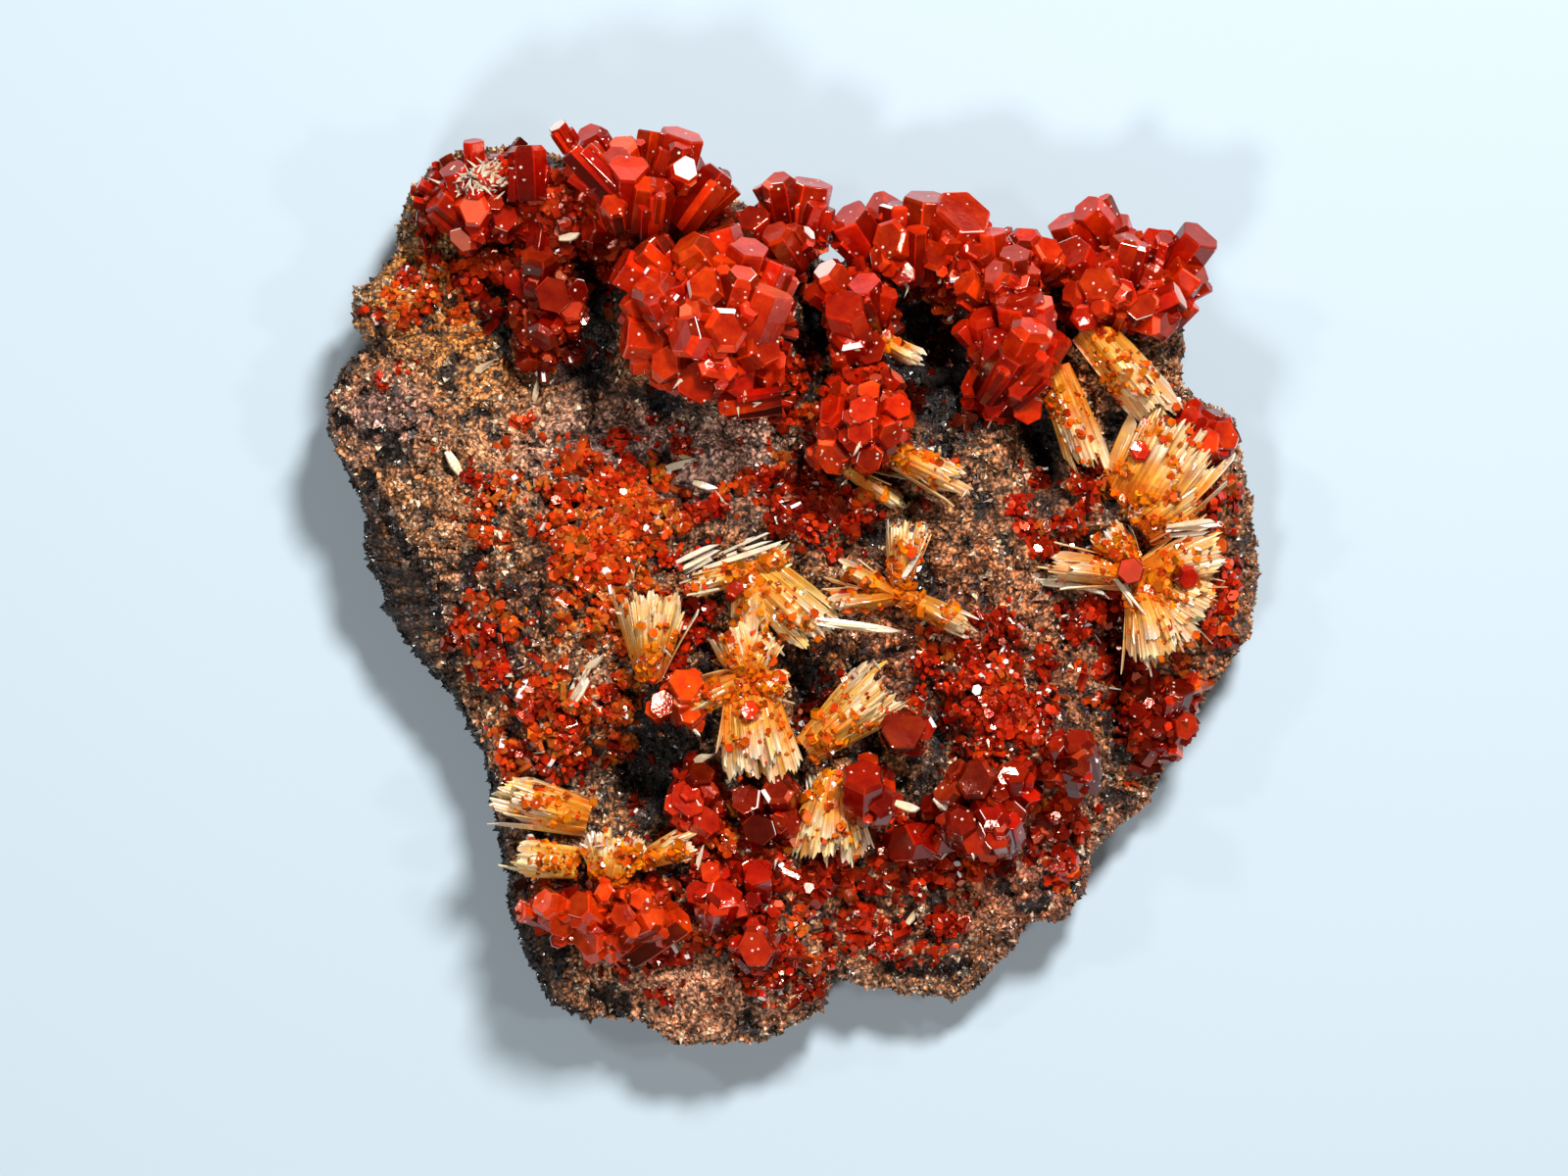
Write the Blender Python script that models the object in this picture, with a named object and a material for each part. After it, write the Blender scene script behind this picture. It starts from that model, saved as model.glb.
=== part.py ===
"""Vanadinite on matrix: red hexagonal prisms and pale barite fans on a plate of brown rock.

The plate lies on its broken back. +Z points out of the crystal side, +Y towards the crest of
large crystals, and the origin is on the flat patch of the back that the plate rests on.
Lengths in the tables are millimetres, and each height is counted from the rock under the
group's centre. Every cluster and every fan is one solid, 0.3 mm clear of the rock below it.
"""

import math

import bmesh
import bpy
import numpy as np
from mathutils import Matrix, Vector

MM = 0.001
GAP = 0.3  # between pieces that touch

# The rock plate
PLATE_HEIGHT = 19.0  # of the crystal side above the table, before swells and hollows
GRID_CELLS = 16  # along each side of the square grid that becomes the crystal side
THINNEST = 5.0  # rock left under the deepest hollow
BACK_INSET = 5.0  # from the rim in to the flat patch of the back
BACK_CHAMFER = 2.6  # height of the broken edge round that patch
SIDE_BULGE = 0.6  # of the side between the rim and the chamfer, give or take as much again
BULGE_WAVES = 8.0  # how many times the bulge comes and goes round the plate, roughly
WIDEST_AT = 0.3  # how far down the side stands out the most
ON_RIM = 0.999  # share of the way from the middle out, from which a point is on the rim
SIDE_STEPS = (0.45,)  # where the side is ringed, as shares of its height
RIM_FALL = 3.2  # how far the surface rounds over at the rim, at the broken left side
RIM_FALL_MORE = 6.5  # and how much more at the lower right
RIM_FALL_TOWARDS = -50.0  # degrees
BUMPS = ((9.0, 1.5), (4.5, 0.8))  # size and height of the random unevenness

# The rim of the crystal side, anticlockwise from +X
OUTLINE = (
    (47.3, -0.2), (47.4, 7.8), (46.5, 12.8), (45.5, 17.3), (41.8, 19.0), (39.6, 21.0),
    (40.1, 25.8), (38.3, 30.3), (32.3, 32.8), (25.3, 33.3), (19.3, 34.3), (12.3, 33.6),
    (6.1, 33.0), (3.5, 32.0), (1.3, 34.0), (-1.7, 37.3), (-5.7, 39.3), (-10.7, 41.3),
    (-16.7, 42.8), (-22.7, 43.6), (-28.7, 44.3), (-33.7, 44.3), (-37.2, 42.6), (-39.2, 40.3),
    (-40.2, 37.0), (-40.3, 34.3), (-44.5, 30.0), (-44.5, 26.8), (-42.9, 24.6), (-45.5, 22.0),
    (-47.3, 19.3), (-47.2, 15.8), (-45.2, 11.8), (-42.5, 7.8), (-40.2, 3.8), (-37.7, -0.2),
    (-36.7, -5.2), (-33.7, -11.2), (-31.5, -16.2), (-29.9, -22.2), (-28.9, -27.2),
    (-26.7, -33.2), (-25.1, -38.7), (-24.2, -42.4), (-19.7, -44.7), (-15.7, -44.7),
    (-10.7, -47.2), (-6.2, -47.2), (-1.2, -46.4), (3.1, -43.7), (4.3, -40.5), (9.3, -40.4),
    (16.8, -42.0), (19.0, -40.2), (24.3, -34.7), (27.8, -34.0), (30.1, -31.4), (30.8, -27.0),
    (36.3, -21.4), (38.8, -16.7), (41.8, -13.0), (43.8, -8.7), (46.5, -5.2),
)

# Where the broken side swells out below the rim: direction, half width in degrees, reach
FLARES = ((180.0, 11.0, 3.8), (234.0, 8.0, 2.2))

# Swells and hollows of the crystal side: x, y, half length, half width, turn in degrees, height
RELIEF = (
    (-31.0, 41.0, 10.0, 4.5, 0.0, 4.5),  # left crest
    (-12.0, 40.0, 14.0, 4.0, -8.0, 4.5),  # middle crest
    (27.0, 31.5, 17.0, 4.0, -2.0, 4.0),  # right crest
    (-8.5, 27.0, 8.0, 7.0, 0.0, 5.5),  # seat of the great cluster
    (-27.0, 28.0, 4.0, 9.0, 0.0, -6.0),  # hollow left of it
    (-19.3, 27.0, 3.0, 9.0, 0.0, -9.0),
    (-31.5, 35.5, 4.0, 3.5, 0.0, -4.0),
    (-12.0, 17.5, 8.0, 2.8, -10.0, -5.0),  # hollow under it
    (2.5, 27.0, 3.0, 6.0, 10.0, -8.0),  # hollow right of it
    (15.0, 25.0, 5.0, 5.5, 0.0, -12.0),  # deep hollow
    (0.5, 13.5, 4.5, 6.5, 20.0, -6.0),  # shaded hollow in the middle
    (9.0, 10.5, 4.5, 2.5, -30.0, -4.0),
    (8.5, 5.0, 4.5, 1.8, 30.0, -5.0),
    (25.5, 14.5, 2.8, 7.0, 8.0, -10.0),  # cleft on the right
    (30.5, 3.5, 4.5, 2.2, -10.0, -4.0),
    (30.0, -5.5, 4.0, 5.0, 0.0, -3.5),
    (34.5, -7.0, 2.2, 4.5, 0.0, -6.0),
    (-14.5, -20.0, 6.5, 4.5, -35.0, -11.0),  # great lower hollow
    (-10.5, -13.5, 4.0, 3.0, 0.0, -5.0),
    (2.0, -10.5, 2.6, 5.0, -15.0, -6.0),
    (15.5, -15.5, 2.2, 4.0, 10.0, -4.0),
    (-23.0, -36.5, 4.5, 2.6, 0.0, -4.0),
    (32.5, -19.0, 1.6, 5.0, -15.0, -3.5),
    (-43.0, 18.5, 5.0, 4.0, 0.0, 2.0),  # knobs of the left edge
    (-39.0, 28.0, 5.0, 5.0, 0.0, 2.5),
    (-37.0, 3.5, 4.0, 5.0, 0.0, 1.5),
    (-22.0, 3.5, 8.0, 6.0, -20.0, 3.0),  # mounds under the small red crystals
    (-23.0, -13.0, 4.5, 5.0, 0.0, 3.0),
    (21.0, -11.0, 7.5, 5.5, -20.0, 3.5),
    (28.5, -17.5, 3.5, 3.5, 0.0, 3.0),
    (27.0, 5.0, 5.0, 3.0, 0.0, 2.5),
    (42.0, 1.0, 4.0, 10.0, 0.0, 3.0),  # swell under the right fans
    (-3.5, -37.0, 3.0, 3.0, 0.0, 2.5),  # knobs of the lower edge
    (-10.0, -42.0, 7.0, 4.0, 0.0, 2.0),
    (24.0, -30.0, 6.0, 5.0, 0.0, 2.0),
)

# Vanadinite. A cluster has a core (x, y, height, and its three half sizes) and crystals, each
# with its tip (x, y, height) and its radius. Its foot lies in the core, partway to the tip.
CORE_FACETS = 1  # subdivisions of the core's icosphere
FOOT_SHARE = 0.1  # how far the foot lies from the core's centre towards the tip, seen from above
LEAN = (0.5, -1.8, 0.0)  # and its shift from there, so that the crystals lean towards the crest
TWIST = 23.0  # degrees that each crystal is turned from the last
BEVELLED_FROM = 2.5  # crystals of this radius and more have a bevelled tip
BEVEL_SHARE = 0.3  # of the radius
BEVEL_RISE = 1.2  # height of the bevel, as a share of its width
CLUSTERS = {
    "crest_left_crystals": (
        (-31.5, 39.8, 1.0, 5.5, 3.6, 3.5),
        ((-26.8, 44.6, 5.5, 1.9), (-30.5, 42.0, 7.0, 1.7), (-34.3, 42.3, 5.5, 1.6),
         (-36.0, 39.3, 4.5, 1.7)),
    ),
    "crest_middle_crystals": (
        (-16.0, 40.3, 1.0, 8.5, 3.4, 3.6),
        ((-23.7, 46.8, 4.0, 1.1), (-20.7, 46.0, 4.0, 2.1), (-22.2, 44.2, 7.5, 1.6),
         (-16.5, 42.3, 8.5, 2.3), (-10.7, 45.8, 5.5, 2.3), (-10.6, 42.2, 8.8, 1.7),
         (-7.0, 42.0, 5.5, 2.3)),
    ),
    "hollow_left_crystals": (
        (-25.5, 30.5, 3.0, 2.8, 8.0, 3.5),
        ((-25.2, 38.0, 8.0, 1.7), (-25.6, 34.0, 8.8, 2.0), (-24.3, 29.6, 9.0, 2.1),
         (-25.5, 25.0, 7.5, 1.8), (-28.6, 32.2, 6.0, 1.6)),
    ),
    "hollow_upper_crystals": (
        (-17.0, 36.2, 0.5, 5.0, 2.6, 3.0),
        ((-20.7, 36.5, 4.5, 1.6), (-13.8, 37.6, 6.0, 1.6)),
    ),
    "great_cluster": (
        (-8.2, 27.0, 2.0, 7.0, 6.6, 5.0),
        ((-17.3, 32.2, 5.8, 2.5), (-14.2, 30.6, 8.8, 2.6), (-10.5, 34.6, 7.6, 2.5),
         (-4.2, 34.2, 7.4, 2.3), (-8.8, 30.2, 11.4, 2.3), (-11.2, 25.2, 12.2, 3.6),
         (-16.8, 25.3, 6.2, 2.3), (-6.3, 25.6, 12.0, 2.4), (-2.0, 29.6, 9.4, 2.6),
         (-4.8, 31.4, 10.6, 2.2), (-2.5, 24.3, 9.4, 2.4), (-9.2, 20.8, 8.6, 2.4)),
    ),
    "crest_spike_crystals": (
        (0.2, 36.8, 2.0, 3.8, 3.0, 3.2),
        ((-3.8, 37.6, 7.4, 1.7), (-1.2, 41.6, 8.0, 2.0), (2.2, 41.2, 5.5, 2.1),
         (-1.7, 35.9, 10.0, 1.8)),
    ),
    "hanging_crystals": (
        (6.8, 28.4, 3.0, 3.0, 4.2, 3.6),
        ((3.4, 32.2, 10.0, 2.9), (7.4, 30.8, 10.2, 1.9), (5.4, 28.4, 12.0, 2.3),
         (6.0, 25.9, 10.2, 2.1)),
    ),
    "crest_right_crystals": (
        (12.8, 34.8, 2.0, 6.0, 2.8, 3.2),
        ((5.9, 37.9, 6.0, 2.5), (8.6, 38.8, 4.5, 2.0), (14.0, 39.9, 5.5, 3.0),
         (17.7, 38.2, 8.0, 2.9), (10.0, 35.4, 8.6, 2.2), (14.8, 33.6, 8.0, 2.0)),
    ),
    "crest_outer_crystals": (
        (21.8, 32.6, 1.5, 5.6, 3.0, 3.2),
        ((20.6, 36.2, 5.0, 1.6), (24.0, 35.8, 5.2, 1.9), (22.9, 33.8, 8.0, 1.9),
         (20.6, 32.0, 8.2, 2.1)),
    ),
    "crest_corner_crystals": (
        (34.0, 33.4, 1.5, 6.6, 2.6, 3.2),
        ((30.2, 38.7, 6.4, 2.0), (28.6, 34.2, 8.4, 2.2), (37.6, 35.4, 5.8, 1.9),
         (41.8, 35.8, 7.0, 2.7), (41.0, 32.8, 6.6, 2.3), (37.0, 32.0, 7.0, 2.0)),
    ),
    "fan_cap_crystals": (
        (34.0, 28.6, 1.5, 5.8, 2.2, 3.2),
        ((30.9, 30.6, 8.4, 2.2), (33.5, 30.0, 8.0, 1.9), (39.7, 29.6, 5.6, 2.3),
         (38.6, 26.8, 5.4, 2.2)),
    ),
    "right_inner_crystals": (
        (22.8, 24.2, 3.0, 3.8, 5.4, 4.0),
        ((23.2, 29.2, 10.4, 2.7), (19.5, 27.8, 8.0, 2.0), (24.6, 26.3, 12.6, 2.5),
         (22.6, 23.8, 12.0, 2.2), (23.2, 20.6, 10.8, 2.1), (24.0, 17.9, 8.2, 1.8)),
    ),
    "middle_cluster": (
        (7.4, 17.4, 3.0, 4.0, 4.6, 4.2),
        ((3.9, 18.2, 8.0, 1.8), (7.4, 17.8, 11.6, 1.7), (11.0, 18.2, 8.4, 1.7),
         (6.8, 15.4, 11.2, 1.6), (3.8, 12.8, 7.4, 2.1)),
    ),
    "fan_tip_prism": (
        (11.5, -14.8, 3.0, 1.8, 1.8, 2.4),
        ((11.6, -14.7, 8.0, 2.3),),
    ),
    "tabular_crystals": (
        (8.2, -20.4, 2.5, 2.2, 2.0, 2.4),
        ((7.6, -19.0, 7.6, 2.8), (9.4, -21.9, 7.0, 2.0)),
    ),
    "lower_right_cluster": (
        (19.2, -22.2, 0.5, 4.4, 4.0, 3.2),
        ((18.6, -19.6, 6.6, 2.5), (15.6, -20.8, 4.8, 2.0), (22.8, -19.0, 5.0, 2.0),
         (20.4, -22.8, 7.0, 1.9), (19.2, -25.7, 5.4, 1.9)),
    ),
    "knob_crystals": (
        (28.4, -17.8, 1.0, 2.6, 2.6, 2.6),
        ((29.0, -15.4, 5.4, 2.0), (29.7, -18.0, 6.6, 1.6)),
    ),
    "lower_tabular_crystals": (
        (12.8, -26.8, 0.0, 2.8, 1.7, 2.4),
        ((11.2, -26.5, 4.6, 2.2), (14.7, -26.0, 4.4, 1.7)),
    ),
    "lower_left_crystals": (
        (-19.0, -33.4, 1.5, 7.4, 2.2, 3.0),
        ((-25.2, -32.0, 6.4, 2.2), (-21.6, -32.4, 7.6, 2.1), (-20.9, -36.1, 6.0, 2.3),
         (-13.6, -33.6, 7.2, 2.1), (-11.0, -34.0, 5.6, 1.8)),
    ),
    "lower_row_crystals": (
        (-6.4, -30.2, 0.5, 3.6, 2.0, 2.6),
        ((-6.8, -30.9, 5.4, 2.4), (-9.6, -31.2, 4.6, 1.8), (-3.4, -29.2, 4.4, 1.9)),
    ),
    "bottom_crystal": (
        (-3.6, -37.0, 0.5, 1.7, 1.7, 1.9),
        ((-3.6, -37.0, 5.0, 2.0), (-5.4, -36.2, 3.6, 1.2)),
    ),
    "right_rim_crystals": (
        (38.0, -13.0, 0.5, 3.2, 4.2, 2.6),
        ((40.8, -14.4, 3.0, 1.7), (40.2, -10.4, 4.0, 1.6)),
    ),
    "inner_left_crystals": (
        (-9.4, -21.8, 2.5, 2.5, 4.0, 2.8),
        ((-9.2, -19.0, 7.4, 1.7), (-10.4, -21.6, 7.6, 2.0), (-8.4, -23.8, 7.0, 1.7)),
    ),
    "inner_lower_crystals": (
        (-2.2, -22.6, 0.5, 3.0, 3.0, 2.4),
        ((-1.4, -20.6, 5.2, 1.9), (-4.6, -21.8, 4.8, 1.7), (-3.2, -24.8, 4.4, 1.9)),
    ),
    "wing_crystals": (
        (-11.2, -11.2, 3.0, 1.7, 2.2, 3.6),
        ((-10.6, -10.0, 9.6, 1.9), (-13.0, -12.0, 8.2, 1.6), (-10.2, -13.0, 8.8, 1.8)),
    ),
    "fan_top_crystals": (
        (42.4, 15.6, 3.0, 2.8, 2.0, 2.2),
        ((40.4, 17.4, 5.6, 1.6), (42.0, 14.6, 7.2, 1.9), (44.6, 15.6, 5.8, 1.8)),
    ),
}

# Barite. A fan has a root (x, y and the height of the blades' middle line there), the blades'
# width, and how deep the grooves between them are as a share of it. Each spray has its first
# and last heading in degrees, its number of blades, where they start and end along their
# length, and how steeply they rise.
BLADE_TIP = 0.6  # width of a blade's end, as a share of its width
NOTCH = 0.74  # reach of the grooves, as a share of the longest blade's
UNEVEN_REACH = 0.2  # how much shorter than that a blade can be
HUB_ACROSS, HUB_ABOVE = 0.2, 0.42  # half sizes of a fan's hub, as shares of the blades' width
DIG = 1.5  # how far a fan would reach into the rock under its root, before it is cut clear
UNEVEN_FAN = 0.3  # by which each spray of a fan is lower than the last
FANS = {
    "right_fan": ((33.6, 5.0, 2.0, 7.0, 0.3), (((32, 84), 4, (1.0, 14.2), 8),)),
    "lower_right_fan": (
        (35.6, 1.0, 3.0, 5.0, 0.3),
        (((-100, -42), 3, (0.7, 10.0), 0), ((6, 36), 2, (0.7, 9.4), 4),
         ((114, 150), 1, (0.7, 6.6), 4), ((166, 178), 1, (0.7, 11.0), 2)),
    ),
    "upper_right_sheaf": ((30.2, 26.8, 4.0, 6.0, 0.3), (((-64, -36), 3, (0.8, 13.2), -6),)),
    "curved_sheaf": ((26.8, 22.6, 3.0, 5.0, 0.3), (((-82, -56), 3, (0.7, 12.2), -2),)),
    "upper_middle_fan": (
        (-3.9, 1.6, 3.0, 5.0, 0.3),
        (((182, 206), 1, (0.7, 7.4), 6), ((-64, -22), 3, (0.7, 10.6), 0)),
    ),
    "left_fan": ((-14.4, -9.8, 3.0, 6.0, 0.3), (((60, 114), 3, (0.7, 10.0), 22),)),
    "middle_fan": (
        (-4.5, -9.4, 4.5, 5.5, 0.3),
        (((-106, -54), 3, (0.9, 11.2), 0), ((192, 219), 2, (0.8, 7.2), 6),
         ((84, 129), 2, (1.0, 5.8), 4)),
    ),
    "spread_fan": (
        (10.9, -0.9, 2.5, 5.0, 0.3),
        (((146, 160), 1, (0.7, 7.6), 14), ((178, 198), 1, (0.7, 8.2), 2),
         ((-36, -14), 2, (0.7, 9.0), 2), ((60, 102), 3, (0.7, 7.8), 18)),
    ),
    "slanting_fan": ((1.4, -16.9, 3.0, 5.5, 0.3), (((20, 60), 3, (0.7, 12.6), 8),)),
    "hanging_fan": ((4.4, -18.8, 1.8, 4.6, 0.3), (((-128, -60), 3, (0.7, 10.0), -6),)),
    "leaf_fan": ((-20.4, -23.8, 2.5, 5.0, 0.25), (((148, 180), 3, (0.7, 10.6), 6),)),
    "edge_fan": ((-21.6, -28.4, 2.0, 4.4, 0.3), (((156, 192), 3, (0.7, 7.8), 4),)),
    "lower_fan": ((-18.6, -30.6, 2.6, 4.6, 0.3), (((36, 124), 3, (0.7, 6.0), 14),)),
    "low_wing": ((-15.4, -28.2, 2.0, 4.0, 0.3), (((4, 36), 3, (0.7, 6.6), 8),)),
    "inner_blade": ((5.4, 12.4, 2.6, 3.6, 0.1), (((-42, -28), 1, (0.7, 8.0), -8),)),
    "inner_fan": ((9.6, 14.0, 3.0, 4.6, 0.3), (((-38, -12), 3, (0.7, 9.6), 0),)),
    "hollow_blade": ((8.6, 25.4, 6.5, 3.2, 0.1), (((-40, -18), 1, (0.7, 6.0), -4),)),
}

MATRIX_LOOK = ((0.20, 0.115, 0.055, 1.0), 0.85)
VANADINITE_LOOK = ((0.58, 0.035, 0.008, 1.0), 0.18)
BARITE_LOOK = ((0.72, 0.50, 0.22, 1.0), 0.45)


def lattice_value(ix, iy, seed):
    """A fixed pseudo-random value from 0 to 1 for each whole-number lattice point."""
    n = (ix * 374761393 + iy * 668265263 + seed * 974634777) & 0xFFFFFFFF
    n = ((n ^ (n >> 13)) * 1274126177) & 0xFFFFFFFF
    return (n ^ (n >> 16)) / 0xFFFFFFFF


def smooth_noise(x, y, size, seed):
    """Value noise from -1 to 1: lattice values blended smoothly over cells of the given size."""
    u, v = np.asarray(x, float) / size, np.asarray(y, float) / size
    iu, iv = np.floor(u).astype(np.int64), np.floor(v).astype(np.int64)
    fu, fv = u - iu, v - iv
    fu, fv = fu * fu * (3 - 2 * fu), fv * fv * (3 - 2 * fv)
    low = lattice_value(iu, iv, seed) * (1 - fu) + lattice_value(iu + 1, iv, seed) * fu
    high = lattice_value(iu, iv + 1, seed) * (1 - fu) + lattice_value(iu + 1, iv + 1, seed) * fu
    return 2 * (low * (1 - fv) + high * fv) - 1


def rim_radius(angle):
    """Distance from the middle to the rim of the crystal side, in a direction in radians."""
    x, y = np.array(OUTLINE).T
    return np.interp(angle, np.arctan2(y, x), np.hypot(x, y), period=2 * math.pi)


def flare(angle):
    """How far the side stands out below the rim, in a direction in radians."""
    across, up = BULGE_WAVES * np.cos(angle), BULGE_WAVES * np.sin(angle)
    reach = SIDE_BULGE * (1 + smooth_noise(across, up, 2.0, len(BUMPS)))
    for towards, half_width, size in FLARES:
        off = (np.degrees(angle) - towards + 180) % 360 - 180
        reach = reach + size * np.exp(-((off / half_width) ** 2))
    return reach


def rock_height(x, y):
    """Height of the crystal side of the rock above the table at a point."""
    x, y = np.asarray(x, float), np.asarray(y, float)
    angle = np.arctan2(y, x)
    share = np.hypot(x, y) / rim_radius(angle)
    towards = 0.5 + 0.5 * np.cos(angle - math.radians(RIM_FALL_TOWARDS))
    height = PLATE_HEIGHT - (RIM_FALL + RIM_FALL_MORE * towards) * share**4
    for cx, cy, half_length, half_width, turn, rise in RELIEF:
        c, s = math.cos(math.radians(turn)), math.sin(math.radians(turn))
        along = ((x - cx) * c + (y - cy) * s) / half_length
        across = ((y - cy) * c - (x - cx) * s) / half_width
        height = height + rise * np.exp(-(along**2 + across**2))
    for seed, (size, rise) in enumerate(BUMPS):
        height = height + rise * smooth_noise(x, y, size, seed)
    return np.maximum(height, THINNEST)


def disc_from_square(a, b):
    """Distance from the middle and angle on a unit disc, for points of a square from -1 to 1."""
    sideways = np.abs(a) > np.abs(b)
    r = np.where(sideways, a, b)
    safe = np.where(r == 0, 1.0, r)
    angle = np.where(sideways, b / safe, 2 - a / safe) * math.pi / 4
    angle = np.where(r < 0, angle + math.pi, angle)
    return np.abs(r), angle


def side_ring(angle, rim_z, down, grow):
    """Points on the side, at a share of the way down from the rim to the chamfer."""
    swell = math.sin(math.pi * min(1.0, down + 0.5 - WIDEST_AT))
    radius = rim_radius(angle) + flare(angle) * swell + grow
    z = rim_z + (BACK_CHAMFER - rim_z) * down
    return radius * np.cos(angle), radius * np.sin(angle), z


def place(verts, x, y, z):
    for v, point in zip(verts, np.stack((x, y, z), axis=-1) * MM):
        v.co = point


def new_object(name, bm):
    mesh = bpy.data.meshes.new(name)
    bmesh.ops.recalc_face_normals(bm, faces=bm.faces)
    bm.to_mesh(mesh)
    bm.free()
    obj = bpy.data.objects.new(name, mesh)
    bpy.context.scene.collection.objects.link(obj)
    return obj


def rock_plate(name, grow=0.0):
    """The rock: a grid shaped to the crystal side, with its rim drawn down into the sides and
    the broken back. Grown, it is the cutter that keeps other pieces clear of the rock."""
    bm = bmesh.new()
    bmesh.ops.create_grid(bm, x_segments=GRID_CELLS, y_segments=GRID_CELLS, size=1)
    square = np.array([v.co for v in bm.verts])
    share, angle = disc_from_square(square[:, 0], square[:, 1])
    radius = rim_radius(angle) * share
    x, y = radius * np.cos(angle), radius * np.sin(angle)
    z = rock_height(x, y) + grow
    outer = radius + grow * (share > ON_RIM)
    place(bm.verts, outer * np.cos(angle), outer * np.sin(angle), z)

    heights = dict(zip((v.index for v in bm.verts), zip(angle, z)))
    ring = [e for e in bm.edges if e.is_boundary]
    facts = {v: heights[v.index] for e in ring for v in e.verts}
    for down in (*SIDE_STEPS, 1.0, None):
        made = bmesh.ops.extrude_edge_only(bm, edges=ring)["geom"]
        ring = [g for g in made if isinstance(g, bmesh.types.BMEdge)]
        below = {}
        for v in (g for g in made if isinstance(g, bmesh.types.BMVert)):
            above = next(e.other_vert(v) for e in v.link_edges if e.other_vert(v) in facts)
            below[v] = facts[above]
        turn, rim_z = np.array(list(below.values())).T
        if down is None:
            back = rim_radius(turn) - BACK_INSET + grow
            place(below, back * np.cos(turn), back * np.sin(turn), np.full(len(turn), -grow))
        else:
            place(below, *side_ring(turn, rim_z, down, grow))
        facts = below
    bmesh.ops.contextual_create(bm, geom=ring)
    bmesh.ops.triangulate(bm, faces=bm.faces, quad_method="FIXED")
    return new_object(name, bm)


def boolean(obj, others, operation):
    """The object joined to or cut by the others, with the outcome as its own mesh."""
    for other in others:
        modifier = obj.modifiers.new(operation.title(), "BOOLEAN")
        modifier.operation = operation
        modifier.solver = "EXACT"
        modifier.object = other
    bpy.context.view_layer.update()
    graph = bpy.context.evaluated_depsgraph_get()
    mesh = bpy.data.meshes.new_from_object(obj.evaluated_get(graph))
    obj.modifiers.clear()
    obj.data = mesh
    if operation == "UNION":
        for other in others:
            bpy.data.objects.remove(other)
    return obj


def largest_body(obj):
    """Drops the chips that cutting has left loose, and keeps the main body."""
    bm = bmesh.new()
    bm.from_mesh(obj.data)
    bodies, seen = [], set()
    for start in bm.verts:
        if start in seen:
            continue
        seen.add(start)
        body, queue = [], [start]
        while queue:
            v = queue.pop()
            body.append(v)
            near = [e.other_vert(v) for e in v.link_edges]
            fresh = [n for n in near if n not in seen]
            seen.update(fresh)
            queue.extend(fresh)
        bodies.append(body)
    bodies.sort(key=len)
    bmesh.ops.delete(bm, geom=[v for body in bodies[:-1] for v in body], context="VERTS")
    bm.to_mesh(obj.data)
    bm.free()
    return obj


def hex_prism(name, tip, foot, radius, twist, grow):
    """A six-sided crystal from foot to tip. A stout one ends in a bevelled tip."""
    axis = tip - foot
    length = axis.length + grow
    bm = bmesh.new()
    bmesh.ops.create_cone(
        bm, cap_ends=True, segments=6, radius1=radius + grow, radius2=radius + grow, depth=length
    )
    if radius >= BEVELLED_FROM:
        bevel = BEVEL_SHARE * radius
        top = [max(bm.faces, key=lambda f: f.calc_center_median().z)]
        for v in top[0].verts:
            v.co.z -= BEVEL_RISE / 2 * bevel
        bmesh.ops.inset_individual(bm, faces=top, thickness=bevel)
        for v in top[0].verts:
            v.co.z += BEVEL_RISE / 2 * bevel
    bmesh.ops.translate(bm, verts=bm.verts, vec=(0, 0, length / 2))
    turn = axis.to_track_quat("Z", "Y").to_matrix().to_4x4() @ Matrix.Rotation(twist, 4, "Z")
    bmesh.ops.transform(bm, matrix=Matrix.Translation(foot) @ turn, verts=bm.verts)
    bmesh.ops.scale(bm, vec=(MM, MM, MM), verts=bm.verts)
    return new_object(name, bm)


def core_of(name, centre, sizes, grow):
    bm = bmesh.new()
    bmesh.ops.create_icosphere(bm, subdivisions=CORE_FACETS, radius=1)
    grown = [(size + grow) * MM for size in sizes]
    bmesh.ops.scale(bm, vec=grown, verts=bm.verts)
    bmesh.ops.translate(bm, vec=centre * MM, verts=bm.verts)
    return new_object(name, bm)


def cluster(name, grow=0.0):
    """Vanadinite crystals that spring from one core, joined in one solid."""
    (cx, cy, lift, *sizes), crystals = CLUSTERS[name]
    ground = float(rock_height(cx, cy))
    centre = Vector((cx, cy, ground + lift))
    body = core_of(name, centre, sizes, grow)
    prisms = []
    for number, (x, y, height, radius) in enumerate(crystals):
        tip = Vector((x, y, ground + height))
        foot = centre.lerp(Vector((x, y, centre.z)), FOOT_SHARE) + Vector(LEAN)
        twist = math.radians(TWIST * number)
        prisms.append(hex_prism(f"{name}.prism", tip, foot, radius, twist, grow))
    return boolean(body, prisms, "UNION")


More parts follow.
